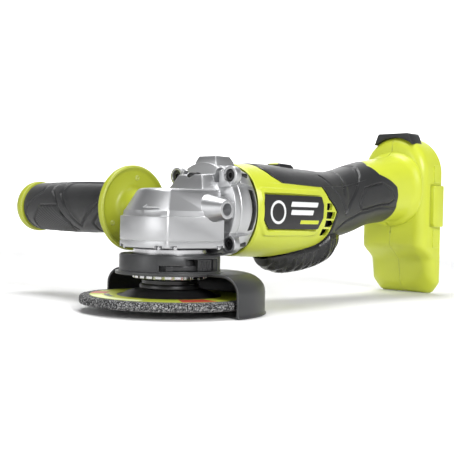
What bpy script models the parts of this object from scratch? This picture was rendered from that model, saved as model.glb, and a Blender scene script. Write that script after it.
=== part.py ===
"""Cordless angle grinder, modelled at its real size.

The origin is the centre of the spindle's lower end face. +X runs from the gear head to the battery
socket, +Y to the side that holds the side handle, and +Z up. Lengths in this file are millimetres,
and heights are measured from the motor's axis, which crosses the spindle's axis AXIS_Z above the
origin. Every piece hangs from one empty at that crossing.
"""

import math

import bmesh
import bpy
from mathutils import Matrix, Vector

MM = 0.001
GAP = 0.3                  # clearance between pieces that touch
AXIS_Z = 58.0              # motor axis above the spindle's end face

# Cutting side, about the spindle's axis
WHEEL_R = 57.15            # a 4.5 inch wheel
WHEEL_TOP = -55.4
WHEEL_BOTTOM = -61.0
WHEEL_BORE_R = 11.1
SPINDLE_R = 7.9            # 5/8 inch thread
NECK_R = 23.4              # bearing cover, which the guard clamps on
NECK_TOP = -25.3
NECK_BOTTOM = -44.5
NECK_TEETH = 24
COLLAR_R = 32.3
COLLAR_TOP = -28.8
DECK_TOP = -40.0
GUARD_R = 61.5
FLOOR_Z = -65.5            # the guard's skirt and the socket's foot rest here

# Gears: a face gear on the spindle and a pinion on the motor's shaft
CROWN_TEETH = 36
PINION_TEETH = 12
CROWN_R = 20.5
CROWN_TIP = -5.75
PINION_TIP_R = 6.5

# Gear case
HEAD_BOTTOM = -25.0
HEAD_LEDGE = -5.0
HEAD_DECK = 12.6
HEAD_CORNER = (-23.5, 22.4)
HEAD_NOSE_X = -29.5
HEAD_REAR = (20.5, 27.7)
LINK_Y = 18.0              # the case between its head and its flange
FLANGE_R = 31.0
FLANGE_X = (27.0, 33.0)
SCREW_Y, SCREW_Z = 22.6, 22.2
SCREW_HEAD_X = (26.6, 30.2)
SCREW_END_X = 43.0
SPIGOT_R = 14.0            # the adapter's hub, which centres it in the case
SPIGOT_X = 28.3
BOSS_X = (29.8, 48.6)      # boss for the top handle position
HANDLE_X = 13.4            # axis of the side handle's bosses
BOSS_FACE_Y = 37.0
STUD_R = 4.0
LOCK_X = 20.2              # spindle lock

# Motor housing, handle and battery socket, along the motor's axis
ADAPTER_X = (33.3, 49.0)
SHELL_FRONT = 49.3
GRIP_X = (140.0, 228.0)
SHELL_WALL = 3.0
GRIP_THICK = 2.0
SOCKET_HALF = 31.0
SOCKET_RIM = 278.0
SOCKET_ARCH_Z = 34.0
SOCKET_WALL = 2.8
PAD_X = (79.0, 138.0)
SLIDER_X = (98.0, 114.0)
SLIDER_TRAVEL = 8.0
HOUSING_SCREWS = ((134.0, -13.0), (147.0, 22.5), (197.0, 1.5), (208.0, 32.5))

SQUARENESS = 2.25          # 2 would be an ellipse
BODY_SIDES = 24

# x, centre height, half height, half width of the body's section
BODY = [
    (49.3, 0.0, 31.3, 31.3),
    (80.0, 0.0, 32.4, 31.2),
    (105.0, -0.2, 31.6, 30.0),
    (130.0, 1.0, 29.8, 27.6),
    (155.0, 4.8, 25.8, 24.6),
    (180.0, 9.8, 25.4, 23.4),
    (205.0, 16.2, 25.0, 23.4),
    (228.0, 19.4, 25.8, 24.6),
    (240.0, 20.4, 26.4, 25.4),
]

COLOURS = {
    "lime_plastic": ((0.53, 0.62, 0.03), 0.38, 0.0),
    "rubber": ((0.055, 0.056, 0.058), 0.75, 0.0),
    "black_plastic": ((0.02, 0.02, 0.021), 0.5, 0.0),
    "cast_aluminium": ((0.55, 0.56, 0.57), 0.38, 0.9),
    "guard_steel": ((0.07, 0.07, 0.072), 0.5, 0.4),
    "steel": ((0.45, 0.45, 0.46), 0.3, 1.0),
    "abrasive": ((0.08, 0.08, 0.08), 0.95, 0.0),
    "badge": ((0.03, 0.03, 0.032), 0.3, 0.0),
    "copper": ((0.6, 0.25, 0.1), 0.35, 1.0),
    "board": ((0.02, 0.12, 0.05), 0.5, 0.0),
}


# ---------------------------------------------------------------- scene and materials

def clear_scene():
    for item in list(bpy.data.objects):
        bpy.data.objects.remove(item, do_unlink=True)


def new_collection(name):
    collection = bpy.data.collections.new(name)
    bpy.context.scene.collection.children.link(collection)
    return collection


def make_material(name):
    colour, roughness, metallic = COLOURS[name]
    material = bpy.data.materials.new(name)
    material.use_nodes = True
    shader = material.node_tree.nodes["Principled BSDF"]
    shader.inputs["Base Color"].default_value = (*colour, 1.0)
    shader.inputs["Roughness"].default_value = roughness
    shader.inputs["Metallic"].default_value = metallic
    material.diffuse_color = (*colour, 1.0)
    return material


# ---------------------------------------------------------------- modelling tools

class Shop:
    """Holds what every piece needs: the two collections, the materials and the root empty."""

    def __init__(self):
        clear_scene()
        self.pieces = new_collection("angle_grinder")
        self.cutters = new_collection("cutters")
        self.materials = {name: make_material(name) for name in COLOURS}
        self.root = bpy.data.objects.new("axes_crossing", None)
        self.root.location = (0.0, 0.0, AXIS_Z * MM)
        self.pieces.objects.link(self.root)

    def adopt(self, mesh, name, material, pivot=(0, 0, 0)):
        """Make an object of the mesh; no material makes it a cutter."""
        piece = bpy.data.objects.new(name, mesh)
        piece.parent = self.root
        piece.location = Vector(pivot) * MM
        if material is None:
            piece.display_type = "WIRE"
            piece.hide_render = True
            self.cutters.objects.link(piece)
        else:
            mesh.materials.append(self.materials[material])
            self.pieces.objects.link(piece)
        return piece

    def solid(self, bm, name, material, pivot=(0, 0, 0), sharp=35):
        """Turn a bmesh in millimetres into an object with its origin at the pivot."""
        bmesh.ops.translate(bm, vec=-Vector(pivot), verts=bm.verts)
        bmesh.ops.scale(bm, vec=(MM, MM, MM), verts=bm.verts)
        bmesh.ops.recalc_face_normals(bm, faces=bm.faces)
        mesh = bpy.data.meshes.new(name)
        bm.to_mesh(mesh)
        bm.free()
        mesh.shade_smooth()
        mesh.set_sharp_from_angle(angle=math.radians(sharp))
        return self.adopt(mesh, name, material, pivot)

    def box(self, name, low, high, material, bevel=0.0):
        bm = bmesh.new()
        size = [b - a for a, b in zip(low, high)]
        middle = [(a + b) / 2 for a, b in zip(low, high)]
        place = Matrix.Translation(middle) @ Matrix.Diagonal((*size, 1.0))
        bmesh.ops.create_cube(bm, size=1.0, matrix=place)
        piece = self.solid(bm, name, material)
        if bevel:
            edge = piece.modifiers.new("rounded edges", "BEVEL")
            edge.width = bevel * MM
            edge.segments = 2
        return piece

    def rod(self, name, radius, start, end, material, sides=20, radius_end=None):
        """A round bar or taper between two points."""
        bm = bmesh.new()
        start, end = Vector(start), Vector(end)
        run = end - start
        turn = Vector((0, 0, 1)).rotation_difference(run).to_matrix().to_4x4()
        place = Matrix.Translation((start + end) / 2) @ turn
        last = radius if radius_end is None else radius_end
        bmesh.ops.create_cone(bm, cap_ends=True, segments=sides, radius1=radius, radius2=last,
                              depth=run.length, matrix=place)
        return self.solid(bm, name, material)

    def turned(self, name, profile, material, axis="Z", centre=(0, 0, 0), steps=32, ring=False):
        """A Screw of (radius, height) points, which run down the outer side."""
        mesh = bpy.data.meshes.new(name)
        points = [(r * MM, 0.0, h * MM) for r, h in profile]
        edges = [(i, i + 1) for i in range(len(points) - 1)]
        if ring:
            edges.append((len(points) - 1, 0))
        mesh.from_pydata(points, edges, [])
        piece = self.adopt(mesh, name, material, centre)
        turns = {"Z": (0, 0, 0), "X": (0, math.pi / 2, 0), "Y": (-math.pi / 2, 0, 0)}
        piece.rotation_euler = turns[axis]
        screw = piece.modifiers.new("turned", "SCREW")
        screw.steps = steps
        screw.render_steps = steps
        screw.use_merge_vertices = True
        screw.merge_threshold = 0.00001
        screw.use_smooth_shade = True
        return piece

    def tube(self, name, outer, inner, low, high, material, **options):
        profile = [(outer, high), (outer, low), (inner, low), (inner, high)]
        return self.turned(name, profile, material, ring=True, **options)

    def loft(self, name, rings, material, pivot=(0, 0, 0), sharp=35, cap=None):
        """Quads between closed rings of equal count; the ends are flat unless cap is given."""
        bm = bmesh.new()
        rows = [[bm.verts.new(p) for p in ring] for ring in rings]
        count = len(rows[0])
        for a, b in zip(rows, rows[1:]):
            for i in range(count):
                j = (i + 1) % count
                bm.faces.new((a[i], a[j], b[j], b[i]))
        for row in (rows[0], rows[-1]):
            if cap == "strips":
                half = count // 2
                for i in range(half - 1):
                    bm.faces.new((row[i], row[i + 1], row[count - 2 - i], row[count - 1 - i]))
            else:
                bm.faces.new(row)
        bmesh.ops.triangulate(bm, faces=[f for f in bm.faces if len(f.verts) == 4])
        return self.solid(bm, name, material, pivot, sharp)


def boolean(piece, tool, operation):
    step = piece.modifiers.new(operation.lower(), "BOOLEAN")
    step.operation = operation
    step.solver = "EXACT"
    step.object = tool
    return piece


def cut(piece, *tools):
    for tool in tools:
        boolean(piece, tool, "DIFFERENCE")
    return piece


def join(piece, *tools):
    for tool in tools:
        boolean(piece, tool, "UNION")
    return piece


def keep_inside(piece, tool):
    """The exact solver leaves open edges on the split plane, so this one uses the manifold solver."""
    boolean(piece, tool, "INTERSECT")
    piece.modifiers[-1].solver = "MANIFOLD"
    return piece


def polar(radius, degrees, z=0.0):
    angle = math.radians(degrees)
    return (radius * math.cos(angle), radius * math.sin(angle), z)


# ---------------------------------------------------------------- section curves

def head_outline(inset, z, count=9):
    """The gear head seen from above: a bulged front, then sides that widen to the rear."""
    corner_x, corner_y = HEAD_CORNER
    corner_x += inset
    corner_y -= inset * 0.85
    bulge = corner_x - (HEAD_NOSE_X + inset)
    points = []
    for i in range(count):
        t = 1 - 2 * i / (count - 1)
        points.append((corner_x - bulge * (1 - t * t), corner_y * t, z))
    rear_x, rear_y = HEAD_REAR
    points.append((rear_x, -(rear_y - inset), z))
    points.append((rear_x, rear_y - inset, z))
    return points


def body_at(x):
    """Centre height, half height and half width of the body at x."""
    for a, b in zip(BODY, BODY[1:]):
        if x <= b[0]:
            t = max(0.0, (x - a[0]) / (b[0] - a[0]))
            return [u + (v - u) * t for u, v in zip(a[1:], b[1:])]
    return list(BODY[-1][1:])


def body_half_width(x, z):
    """Half width of the body's section at x and height z."""
    centre, tall, wide = body_at(x)
    return wide * (1 - abs((z - centre) / tall) ** SQUARENESS) ** (1 / SQUARENESS)


def body_point(x, degrees, inset):
    """Point on the body's section at x; 90 degrees is its top."""
    centre, tall, wide = body_at(x)
    angle = math.radians(degrees)
    c, s = math.cos(angle), math.sin(angle)
    y = math.copysign(abs(c) ** (2 / SQUARENESS), c) * (wide - inset)
    z = math.copysign(abs(s) ** (2 / SQUARENESS), s) * (tall - inset) + centre
    return (x, y, z)


def body_ring(x, inset=0.0):
    """A rounded section of the motor housing or handle."""
    return [body_point(x, 360 * i / BODY_SIDES, inset) for i in range(BODY_SIDES)]


def socket_front(z):
    """How far forward the battery socket's front wall lies at a height."""
    if z > -26:
        return 250.0
    if z > -38:
        return 250.0 + (-26 - z) * 1.2
    return 264.4 + (-38 - z) * 0.15


def socket_ring(depth, inset, rim=False):
    """The socket seen from the battery: flat foot, straight sides and a round top."""
    wide = SOCKET_HALF - inset
    foot = FLOOR_Z + inset
    side = [(wide - 7, foot), (wide, foot + 7), (wide, -38), (wide, -26), (wide, 0), (wide, SOCKET_ARCH_Z)]
    for degrees in (20, 40, 58, 74):
        angle = math.radians(degrees)
        side.append((wide * math.cos(angle), SOCKET_ARCH_Z + wide * math.sin(angle)))
    def place(y, z):
        return (SOCKET_RIM + depth if rim else socket_front(z) + depth, y, z)
    return [place(y, z) for y, z in side] + [place(-y, z) for y, z in reversed(side)]


# ---------------------------------------------------------------- gear head

def make_gear_case(shop):
    """Cast case: stepped head, raised block, round rear flange, four corner lugs and two bosses."""
    case = shop.loft("gear_case", [
        head_outline(0.6, HEAD_BOTTOM), head_outline(0.0, HEAD_BOTTOM + 1.0),
        head_outline(0.0, HEAD_LEDGE), head_outline(1.6, HEAD_LEDGE + 3.6),
        head_outline(8.0, HEAD_DECK - 1.0), head_outline(9.0, HEAD_DECK)], "cast_aluminium")
    block = shop.loft("case_block", [
        [(10.0, 16, 8), (10.0, -16, 8), (28.0, -17, 8), (28.0, 17, 8)],
        [(16.5, 10, 22), (16.5, -10, 22), (28.0, -12, 23), (28.0, 12, 23)]], None)
    link = shop.box("case_link", (14, -LINK_Y, HEAD_BOTTOM), (28, LINK_Y, HEAD_DECK - 2), None)
    flange = shop.rod("case_flange", FLANGE_R, (FLANGE_X[0], 0, 0), (FLANGE_X[1], 0, 0), None, 36)
    join(case, flange, block, link)
    for y in (-SCREW_Y, SCREW_Y):
        for z in (-SCREW_Z, SCREW_Z):
            join(case, shop.rod("case_lug", 5.8, (FLANGE_X[0] - 1.4, y, z), (FLANGE_X[1] - 0.4, y, z), None, 12))
    for side in (-1, 1):
        join(case, shop.rod("case_boss", 8.6, (HANDLE_X, side * 22, 0), (HANDLE_X, side * BOSS_FACE_Y, 0),
                            None, 16, 6.6))
    chamber = shop.rod("gear_chamber", 22.6, (0, 0, HEAD_BOTTOM - 1), (0, 0, 2.5), None, 30)
    seat = shop.rod("upper_bearing_seat", 8.2, (0, 0, 2.0), (0, 0, 9.8), None, 18)
    bore = shop.rod("pinion_bore", 10.0, (4, 0, 0), (FLANGE_X[1] + 1, 0, 0), None, 20)
    cut(case, chamber, seat, bore)
    cut(case, shop.rod("spigot_seat", SPIGOT_R + GAP, (SPIGOT_X - GAP, 0, 0), (FLANGE_X[1] + 1, 0, 0), None, 24),
        shop.box("boss_notch", (BOSS_X[0] - GAP, -10.2, 25.6), (FLANGE_X[1] + 1, 10.2, 40), None))
    cut(case, shop.rod("neck_clearance", NECK_R + GAP, (0, 0, NECK_BOTTOM), (0, 0, HEAD_BOTTOM + 0.2), None, 32),
        collar_clearance(shop))
    for y in (-SCREW_Y, SCREW_Y):
        for z in (-SCREW_Z, SCREW_Z):
            cut(case, shop.rod("screw_hole", 2.4, (22, y, z), (FLANGE_X[1] + 1, y, z), None, 8),
                shop.rod("screw_head_pocket", 4.2, (HEAD_REAR[0] + GAP, y, z), (SCREW_HEAD_X[1] + 0.4, y, z), None, 12))
    for side in (-1, 1):
        cut(case, shop.rod("handle_hole", STUD_R, (HANDLE_X, side * 25.5, 0),
                           (HANDLE_X, side * (BOSS_FACE_Y + 1), 0), None, 16))
    cut(case, shop.rod("lock_pin_bore", 1.6, (LOCK_X, 0, 8), (LOCK_X, 0, 16), None, 8),
        shop.rod("lock_button_pocket", 4.8, (LOCK_X, 0, 13.5), (LOCK_X, 0, 25), None, 16))
    return case


def collar_clearance(shop):
    """The flange and adapter are flat underneath, just above the guard's collar."""
    return shop.box("collar_clearance", (18, -30, -40), (38, 30, COLLAR_TOP + GAP), None)


def make_case_screws(shop):
    """Four cap screws, from the gear case's lugs into the adapter."""
    top, under = SCREW_HEAD_X
    number = 0
    for y in (-SCREW_Y, SCREW_Y):
        for z in (-SCREW_Z, SCREW_Z):
            number += 1
            shop.turned(f"case_screw_{number}", [
                (0, SCREW_END_X), (1.9, SCREW_END_X), (1.9, under), (3.8, under), (3.8, top), (2.0, top),
                (1.5, top + 1.6), (0, top + 1.6)],
                "steel", axis="X", centre=(0, y, z), steps=10)


def make_bearing_cover(shop):
    """Clamping neck below the case, with teeth round its foot that the guard clicks on."""
    cover = shop.turned("bearing_cover", [
        (NECK_R, NECK_TOP), (NECK_R, NECK_BOTTOM), (9.3, NECK_BOTTOM), (9.3, -38.6), (16.3, -38.6),
        (16.3, NECK_TOP)], "steel", steps=32, ring=True)
    for i in range(NECK_TEETH):
        angle = 360 * (i + 0.5) / NECK_TEETH
        bm = bmesh.new()
        place = Matrix.Rotation(math.radians(angle), 4, "Z") @ Matrix.Translation((NECK_R, 0, NECK_BOTTOM))
        bmesh.ops.create_cube(bm, size=1.0, matrix=place @ Matrix.Diagonal((5.0, 2.4, 6.4, 1.0)))
        cut(cover, shop.solid(bm, "neck_notch", None))
    return cover


def make_bearings(shop):
    shop.tube("lower_spindle_bearing", 16.0, 6.0, -38.2, -27.6, "steel", steps=28)
    shop.tube("upper_spindle_bearing", 7.9, 4.3, 3.2, 9.4, "steel", steps=20)
    shop.tube("motor_front_bearing", 10.9, 5.3, 30.2, 37.2, "steel", axis="X", steps=24)
    shop.tube("motor_rear_bearing", 7.9, 3.3, 94.2, 99.8, "steel", axis="X", steps=20)


def make_spindle(shop):
    shop.turned("spindle", [
        (0, 9.0), (4.0, 9.0), (4.0, -8.0), (5.7, -8.0), (5.7, -38.9), (8.9, -38.9), (8.9, -44.9),
        (SPINDLE_R, -44.9), (SPINDLE_R, -57.4), (7.3, -AXIS_Z), (0, -AXIS_Z)], "steel", steps=24)


def make_crown_gear(shop):
    """Face gear: tooth tips point up at the pinion, and a hub carries it on the spindle."""
    inner, outer, root, back = 14.6, CROWN_R, -7.2, -14.5
    web = -9.6
    pitch = 360 / CROWN_TEETH
    parts = ((-0.33, root), (0.33, root), (0.5, CROWN_TIP))
    rings = []
    for radius, level in ((6.1, back), (outer, back), (outer, None), (inner, None), (inner, web), (6.1, web)):
        ring = []
        for tooth in range(CROWN_TEETH):
            for share, height in parts:
                ring.append(polar(radius, (tooth + share) * pitch, height if level is None else level))
        rings.append(ring)
    bm = bmesh.new()
    rows = [[bm.verts.new(p) for p in ring] for ring in rings]
    count = len(rows[0])
    for a, b in zip(rows, rows[1:] + rows[:1]):
        for i in range(count):
            j = (i + 1) % count
            bm.faces.new((a[i], a[j], b[j], b[i]))
    return shop.solid(bm, "crown_gear", "steel")


def make_pinion(shop):
    """Twelve teeth, and a hub behind them with the cross holes for the spindle lock."""
    pitch = 2 * math.pi / PINION_TEETH
    shape = ((-0.26, 4.7), (-0.11, PINION_TIP_R), (0.11, PINION_TIP_R), (0.26, 4.7))
    outline = []
    for tooth in range(PINION_TEETH):
        for share, radius in shape:
            angle = (tooth + share) * pitch - math.pi / 2
            outline.append((radius, angle))
    def ring(x):
        return [(x, r * math.cos(a), r * math.sin(a)) for r, a in outline]
    pinion = shop.loft("pinion", [ring(14.0), ring(17.9)], "steel")
    hub = shop.rod("pinion_hub", 5.4, (17.0, 0, 0), (22.6, 0, 0), None, 24)
    bore = shop.rod("pinion_shaft_bore", 3.3, (13, 0, 0), (23.5, 0, 0), None, 20)
    join(pinion, hub)
    cut(pinion, bore)
    cut(pinion, shop.rod("lock_cross_hole", 1.8, (LOCK_X, 0, -7), (LOCK_X, 0, 7), None, 12),
        shop.rod("lock_cross_hole", 1.8, (LOCK_X, -7, 0), (LOCK_X, 7, 0), None, 12))
    return pinion


def make_spindle_lock(shop):
    """Push button with its pin in one piece, and the spring under it."""
    shop.turned("spindle_lock_button", [
        (0, 24.2), (3.4, 24.0), (4.5, 22.8), (4.5, 20.6), (1.3, 20.6), (1.3, 7.6), (0, 7.6)],
        "black_plastic", centre=(LOCK_X, 0, 0), steps=20)
    make_spring(shop, "spindle_lock_spring", LOCK_X, 13.9, 20.2, 2.6, 0.3, 4)


def make_spring(shop, name, x, low, high, radius, thick, turns):
    """An upright compression spring."""
    sides = 8
    total = turns * sides
    route = []
    for i in range(total + 1):
        angle = 2 * math.pi * i / sides
        route.append((x + radius * math.cos(angle), radius * math.sin(angle), low + (high - low) * i / total))
    wire(shop, name, route, thick, "steel")


def wire(shop, name, route, thick, material):
    """A round wire along a route: a beveled curve made a mesh, with its caps welded."""
    curve = bpy.data.curves.new(name, "CURVE")
    curve.dimensions = "3D"
    curve.bevel_depth = thick * MM
    curve.bevel_resolution = 0
    curve.use_fill_caps = True
    spline = curve.splines.new("POLY")
    spline.points.add(len(route) - 1)
    for point, place in zip(spline.points, route):
        point.co = (*(Vector(place) * MM), 1.0)
    guide = bpy.data.objects.new(name + "_wire", curve)
    shop.cutters.objects.link(guide)
    view = bpy.context.evaluated_depsgraph_get()
    mesh = bpy.data.meshes.new_from_object(guide.evaluated_get(view))
    bpy.data.objects.remove(guide, do_unlink=True)
    bm = bmesh.new()
    bm.from_mesh(mesh)
    bmesh.ops.remove_doubles(bm, verts=bm.verts, dist=0.000001)
    bm.to_mesh(mesh)
    bm.free()
    mesh.name = name
    return shop.adopt(mesh, name, material)


# ---------------------------------------------------------------- wheel and guard

def make_wheel_set(shop):
    shop.turned("inner_flange", [
        (17.7, -45.2), (17.7, -48.9), (WHEEL_BORE_R - GAP, -48.9), (WHEEL_BORE_R - GAP, -51.4),
        (SPINDLE_R + GAP, -51.4), (SPINDLE_R + GAP, -45.2)], "guard_steel", steps=28, ring=True)
    shop.turned("grinding_wheel", [
        (WHEEL_BORE_R, -49.2), (19.5, -49.2), (26.0, -50.8), (31.0, WHEEL_TOP), (WHEEL_R, WHEEL_TOP),
        (WHEEL_R, WHEEL_BOTTOM), (34.0, WHEEL_BOTTOM), (29.0, -56.6), (21.0, -55.0),
        (WHEEL_BORE_R, -55.0)], "abrasive", steps=42, ring=True)
    nut = shop.turned("clamp_nut", [
        (16.5, -55.3), (16.5, -59.6), (15.5, -60.4), (SPINDLE_R + GAP, -60.4), (SPINDLE_R + GAP, -52.0),
        (WHEEL_BORE_R - GAP, -52.0), (WHEEL_BORE_R - GAP, -55.3)], "steel", steps=32, ring=True)
    for angle in (0, 90, 180, 270):
        x, y, _ = polar(12.4, angle)
        cut(nut, shop.rod("spanner_hole", 1.9, (x, y, -62), (x, y, -57.4), None, 12))


def guard_arc(profile, first, last, steps):
    """Closed (radius, height) profile swept about the spindle from one angle to another."""
    return [[polar(r, first + (last - first) * i / steps, z) for r, z in profile] for i in range(steps + 1)]


def make_guard(shop):
    collar = shop.turned("guard_collar", [
        (COLLAR_R - 0.8, COLLAR_TOP), (COLLAR_R, COLLAR_TOP - 0.8), (COLLAR_R, DECK_TOP), (34.2, DECK_TOP),
        (34.2, DECK_TOP - 1.6), (24.1, DECK_TOP - 1.6), (24.1, COLLAR_TOP)], "guard_steel", steps=40, ring=True)
    pocket = guard_arc([(26.3, -38.8), (36, -38.8), (36, -30.9), (26.3, -30.9)], -142, -66, 10)
    cut(collar, shop.loft("latch_pocket", pocket, None))
    thick = 1.6
    skin = [(34.6, DECK_TOP), (51.0, DECK_TOP - 0.4), (56.4, DECK_TOP - 2.6), (59.8, DECK_TOP - 6.2),
            (GUARD_R, DECK_TOP - 10.8), (GUARD_R, FLOOR_Z + 1.6), (GUARD_R + 0.9, FLOOR_Z + 0.6),
            (GUARD_R + 0.9, FLOOR_Z), (GUARD_R - thick, FLOOR_Z), (GUARD_R - thick, DECK_TOP - 11.2),
            (58.3, DECK_TOP - 7.2), (55.2, DECK_TOP - 4.1), (50.6, DECK_TOP - 2.0), (34.6, DECK_TOP - thick)]
    return shop.loft("guard_shroud", guard_arc(skin, -91, 91, 22), "guard_steel")


def make_guard_latch(shop):
    """Flush lever in the collar's pocket, its pin near the rear end, and a leaf spring behind it."""
    x, y, _ = polar(30.2, -72)
    outer = COLLAR_R + 0.2
    outline = [(28.1, -38.4), (outer, -38.4), (outer, -31.4), (28.1, -31.4)]
    lever = shop.loft("guard_latch", guard_arc(outline, -138, -69, 10), "guard_steel", pivot=(x, y, 0))
    cut(lever, shop.rod("latch_pin_hole", 1.4, (x, y, -40), (x, y, -30), None, 12))
    shop.rod("latch_pin", 1.1, (x, y, -38.5), (x, y, -31.2), "steel", 12)
    leaf = [(26.8, -37.2), (27.4, -37.2), (27.4, -32.4), (26.8, -32.4)]
    shop.loft("latch_spring", guard_arc(leaf, -132, -100, 5), "steel")


# ---------------------------------------------------------------- side handle

def make_side_handle(shop):
    at = (HANDLE_X, 0, 0)
    shop.turned("handle_stud", [
        (0, 138), (3.6, 138), (3.6, 52), (3.6, 27), (3.1, 26.2), (0, 26.2)],
        "steel", axis="Y", centre=at, steps=16)
    shop.turned("handle_flange", [
        (14, 55.7), (29.4, 55.0), (29.4, 51.7), (27.6, 51.2), (25.6, 52.6), (15.0, 52.6), (12.6, 50.4),
        (11.4, 37.6), (3.9, 37.6), (3.9, 55.7)], "lime_plastic", axis="Y", centre=at, steps=28, ring=True)
    shop.turned("handle_sleeve", [
        (17.6, 160.2), (18.0, 158), (18.4, 130), (18.6, 105), (18.0, 80), (16.4, 62), (15.6, 56.0),
        (3.9, 56.0), (3.9, 138.4), (7.0, 138.4), (7.0, 160.2)], "rubber", axis="Y", centre=at, steps=24, ring=True)
    shop.turned("handle_end_cap", [
        (0, 171.5), (11.0, 170.8), (16.8, 168.6), (19.0, 165.4), (19.0, 162.4), (18.0, 160.5), (6.7, 160.5),
        (6.7, 150), (0, 150)], "lime_plastic", axis="Y", centre=at, steps=24)


# ---------------------------------------------------------------- adapter, motor and electronics

def make_adapter(shop):
    """Aluminium ring between gear case and housing, with the top handle boss and exhaust slots."""
    x0, x1 = ADAPTER_X
    adapter = shop.turned("motor_adapter", [
        (30.2, x1), (FLANGE_R, x1 - 0.8), (FLANGE_R, x0), (SPIGOT_R, x0), (SPIGOT_R, SPIGOT_X), (9.4, SPIGOT_X),
        (9.4, 29.8), (11.2, 29.8), (11.2, 38.4), (28.0, 38.4), (28.0, x1)], "cast_aluminium", axis="X", steps=28,
        ring=True)
    for y in (-SCREW_Y, SCREW_Y):
        for z in (-SCREW_Z, SCREW_Z):
            join(adapter, shop.rod("adapter_lug", 5.6, (x0 + 0.4, y, z), (SCREW_END_X + 2.5, y, z), None, 12, 3.8))
            cut(adapter, shop.rod("adapter_screw_hole", 2.2, (x0 - 1, y, z), (SCREW_END_X + 0.5, y, z), None, 8))
    boss = shop.loft("top_boss", [
        [(BOSS_X[0], 9.5, 26), (BOSS_X[0], -9.5, 26), (BOSS_X[1], -9.5, 26), (BOSS_X[1], 9.5, 26)],
        [(31.5, 7.6, 35.6), (31.5, -7.6, 35.6), (45.5, -7.6, 35.6), (45.5, 7.6, 35.6)]], None)
    join(adapter, boss)
    cut(adapter, shop.rod("top_handle_hole", STUD_R, (38.5, 0, 29.6), (38.5, 0, 37), None, 20))
    cut(adapter, collar_clearance(shop))
    for side in (-1, 1):
        for z in (-13.5, 0.5):
            slot = shop.box("exhaust_slot", (40.6, min(side * 24, side * 33), z),
                            (44.4, max(side * 24, side * 33), z + 12.6), None)
            cut(adapter, slot)
    return adapter


def make_motor(shop):
    shop.turned("motor_shaft", [
        (0, 101), (3.0, 101), (3.0, 88), (5.0, 88), (5.0, 24.5), (3.0, 24.5), (3.0, 13.6), (0, 13.6)],
        "steel", axis="X", steps=20)
    shop.tube("rotor", 12.6, 5.3, 57.5, 87.0, "steel", axis="X", steps=20)
    stator = shop.tube("stator", 27.4, 13.6, 56.0, 89.0, "copper", axis="X", steps=24)
    for i in range(6):
        angle = math.radians(60 * i)
        y, z = 19.6 * math.cos(angle), 19.6 * math.sin(angle)
        cut(stator, shop.rod("winding_slot", 2.6, (54, y, z), (91, y, z), None, 8))
    bracket = shop.tube("motor_end_bracket", 26.6, 8.2, 93.6, 99.8, "black_plastic", axis="X", steps=24)
    for i in range(6):
        angle = math.radians(60 * i + 37)
        y, z = 17.0 * math.cos(angle), 17.0 * math.sin(angle)
        cut(bracket, shop.rod("bracket_hole", 4.4, (92, y, z), (101, y, z), None, 8))
    fan = shop.tube("cooling_fan", 9.4, 5.3, 41.4, 52.6, "black_plastic", axis="X", steps=24)
    disc = shop.rod("fan_disc", 26.6, (51.0, 0, 0), (52.6, 0, 0), None, 28)
    join(fan, disc)
    for i in range(9):
        spin = Matrix.Rotation(math.radians(40 * i), 4, "X")
        bm = bmesh.new()
        place = spin @ Matrix.Translation((47.0, 0, 16.8)) @ Matrix.Rotation(math.radians(24), 4, "Z")
        bmesh.ops.create_cube(bm, size=1.0, matrix=place @ Matrix.Diagonal((8.6, 1.5, 17.0, 1.0)))
        join(fan, shop.solid(bm, "fan_blade", None))
    cut(fan, shop.rod("fan_bore", 5.3, (40, 0, 0), (54, 0, 0), None, 24))


def make_electronics(shop):
    shop.box("control_board", (106, -17, 4), (139, 17, 13), "board")
    shop.box("switch_module", (109, -8, 13.4), (130, 8, 23.6), "black_plastic")
    shop.box("switch_rod", (109, -2.6, 24.0), (131, 2.6, 26.9), "black_plastic")
    shop.box("capacitor_block", (152, -11, -4), (182, 11, 12), "black_plastic")
    block = shop.box("terminal_block", (219.8, -13.6, 6), (227.8, 13.6, 33), "black_plastic")
    for y in (-9.0, 0.0, 9.0):
        join(block, shop.box("blade", (226.8, y - 0.5, 12), (246.0, y + 0.5, 28), None))
    for number, degrees in enumerate((37, 97, 157), 1):
        y, z, _ = polar(17.0, degrees)
        shop.rod(f"motor_lead_{number}", 1.3, (89.4, y, z), (105.6, y, z), "copper", 8)
    for side, name in ((-1, "battery_lead_minus"), (1, "battery_lead_plus")):
        route = [(139.4, side * 6, 8.5), (143, side * 6, 9.2), (147.5, side * 6, 12.5), (153, side * 6, 15.0),
                 (168, side * 6, 16.2), (186, side * 6, 17.0), (202, side * 6, 18.4), (219.4, side * 6, 19.0)]
        wire(shop, name, route, 1.4, "copper")


# ---------------------------------------------------------------- housing, grips and socket

def body_stations(step_in):
    """x and inset pairs along the shell: the handle's stretch is sunk for its rubber."""
    first, last = GRIP_X
    stations = [(SHELL_FRONT, 0.0), (80.0, 0.0), (105.0, 0.0), (130.0, 0.0)]
    stations += [(first - GAP, 0.0), (first - GAP + 0.02, step_in), (155.0, step_in), (180.0, step_in),
                 (205.0, step_in)]
    stations += [(last + GAP - 0.02, step_in), (last + GAP, 0.0), (254.0, 0.0)]
    return stations


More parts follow.
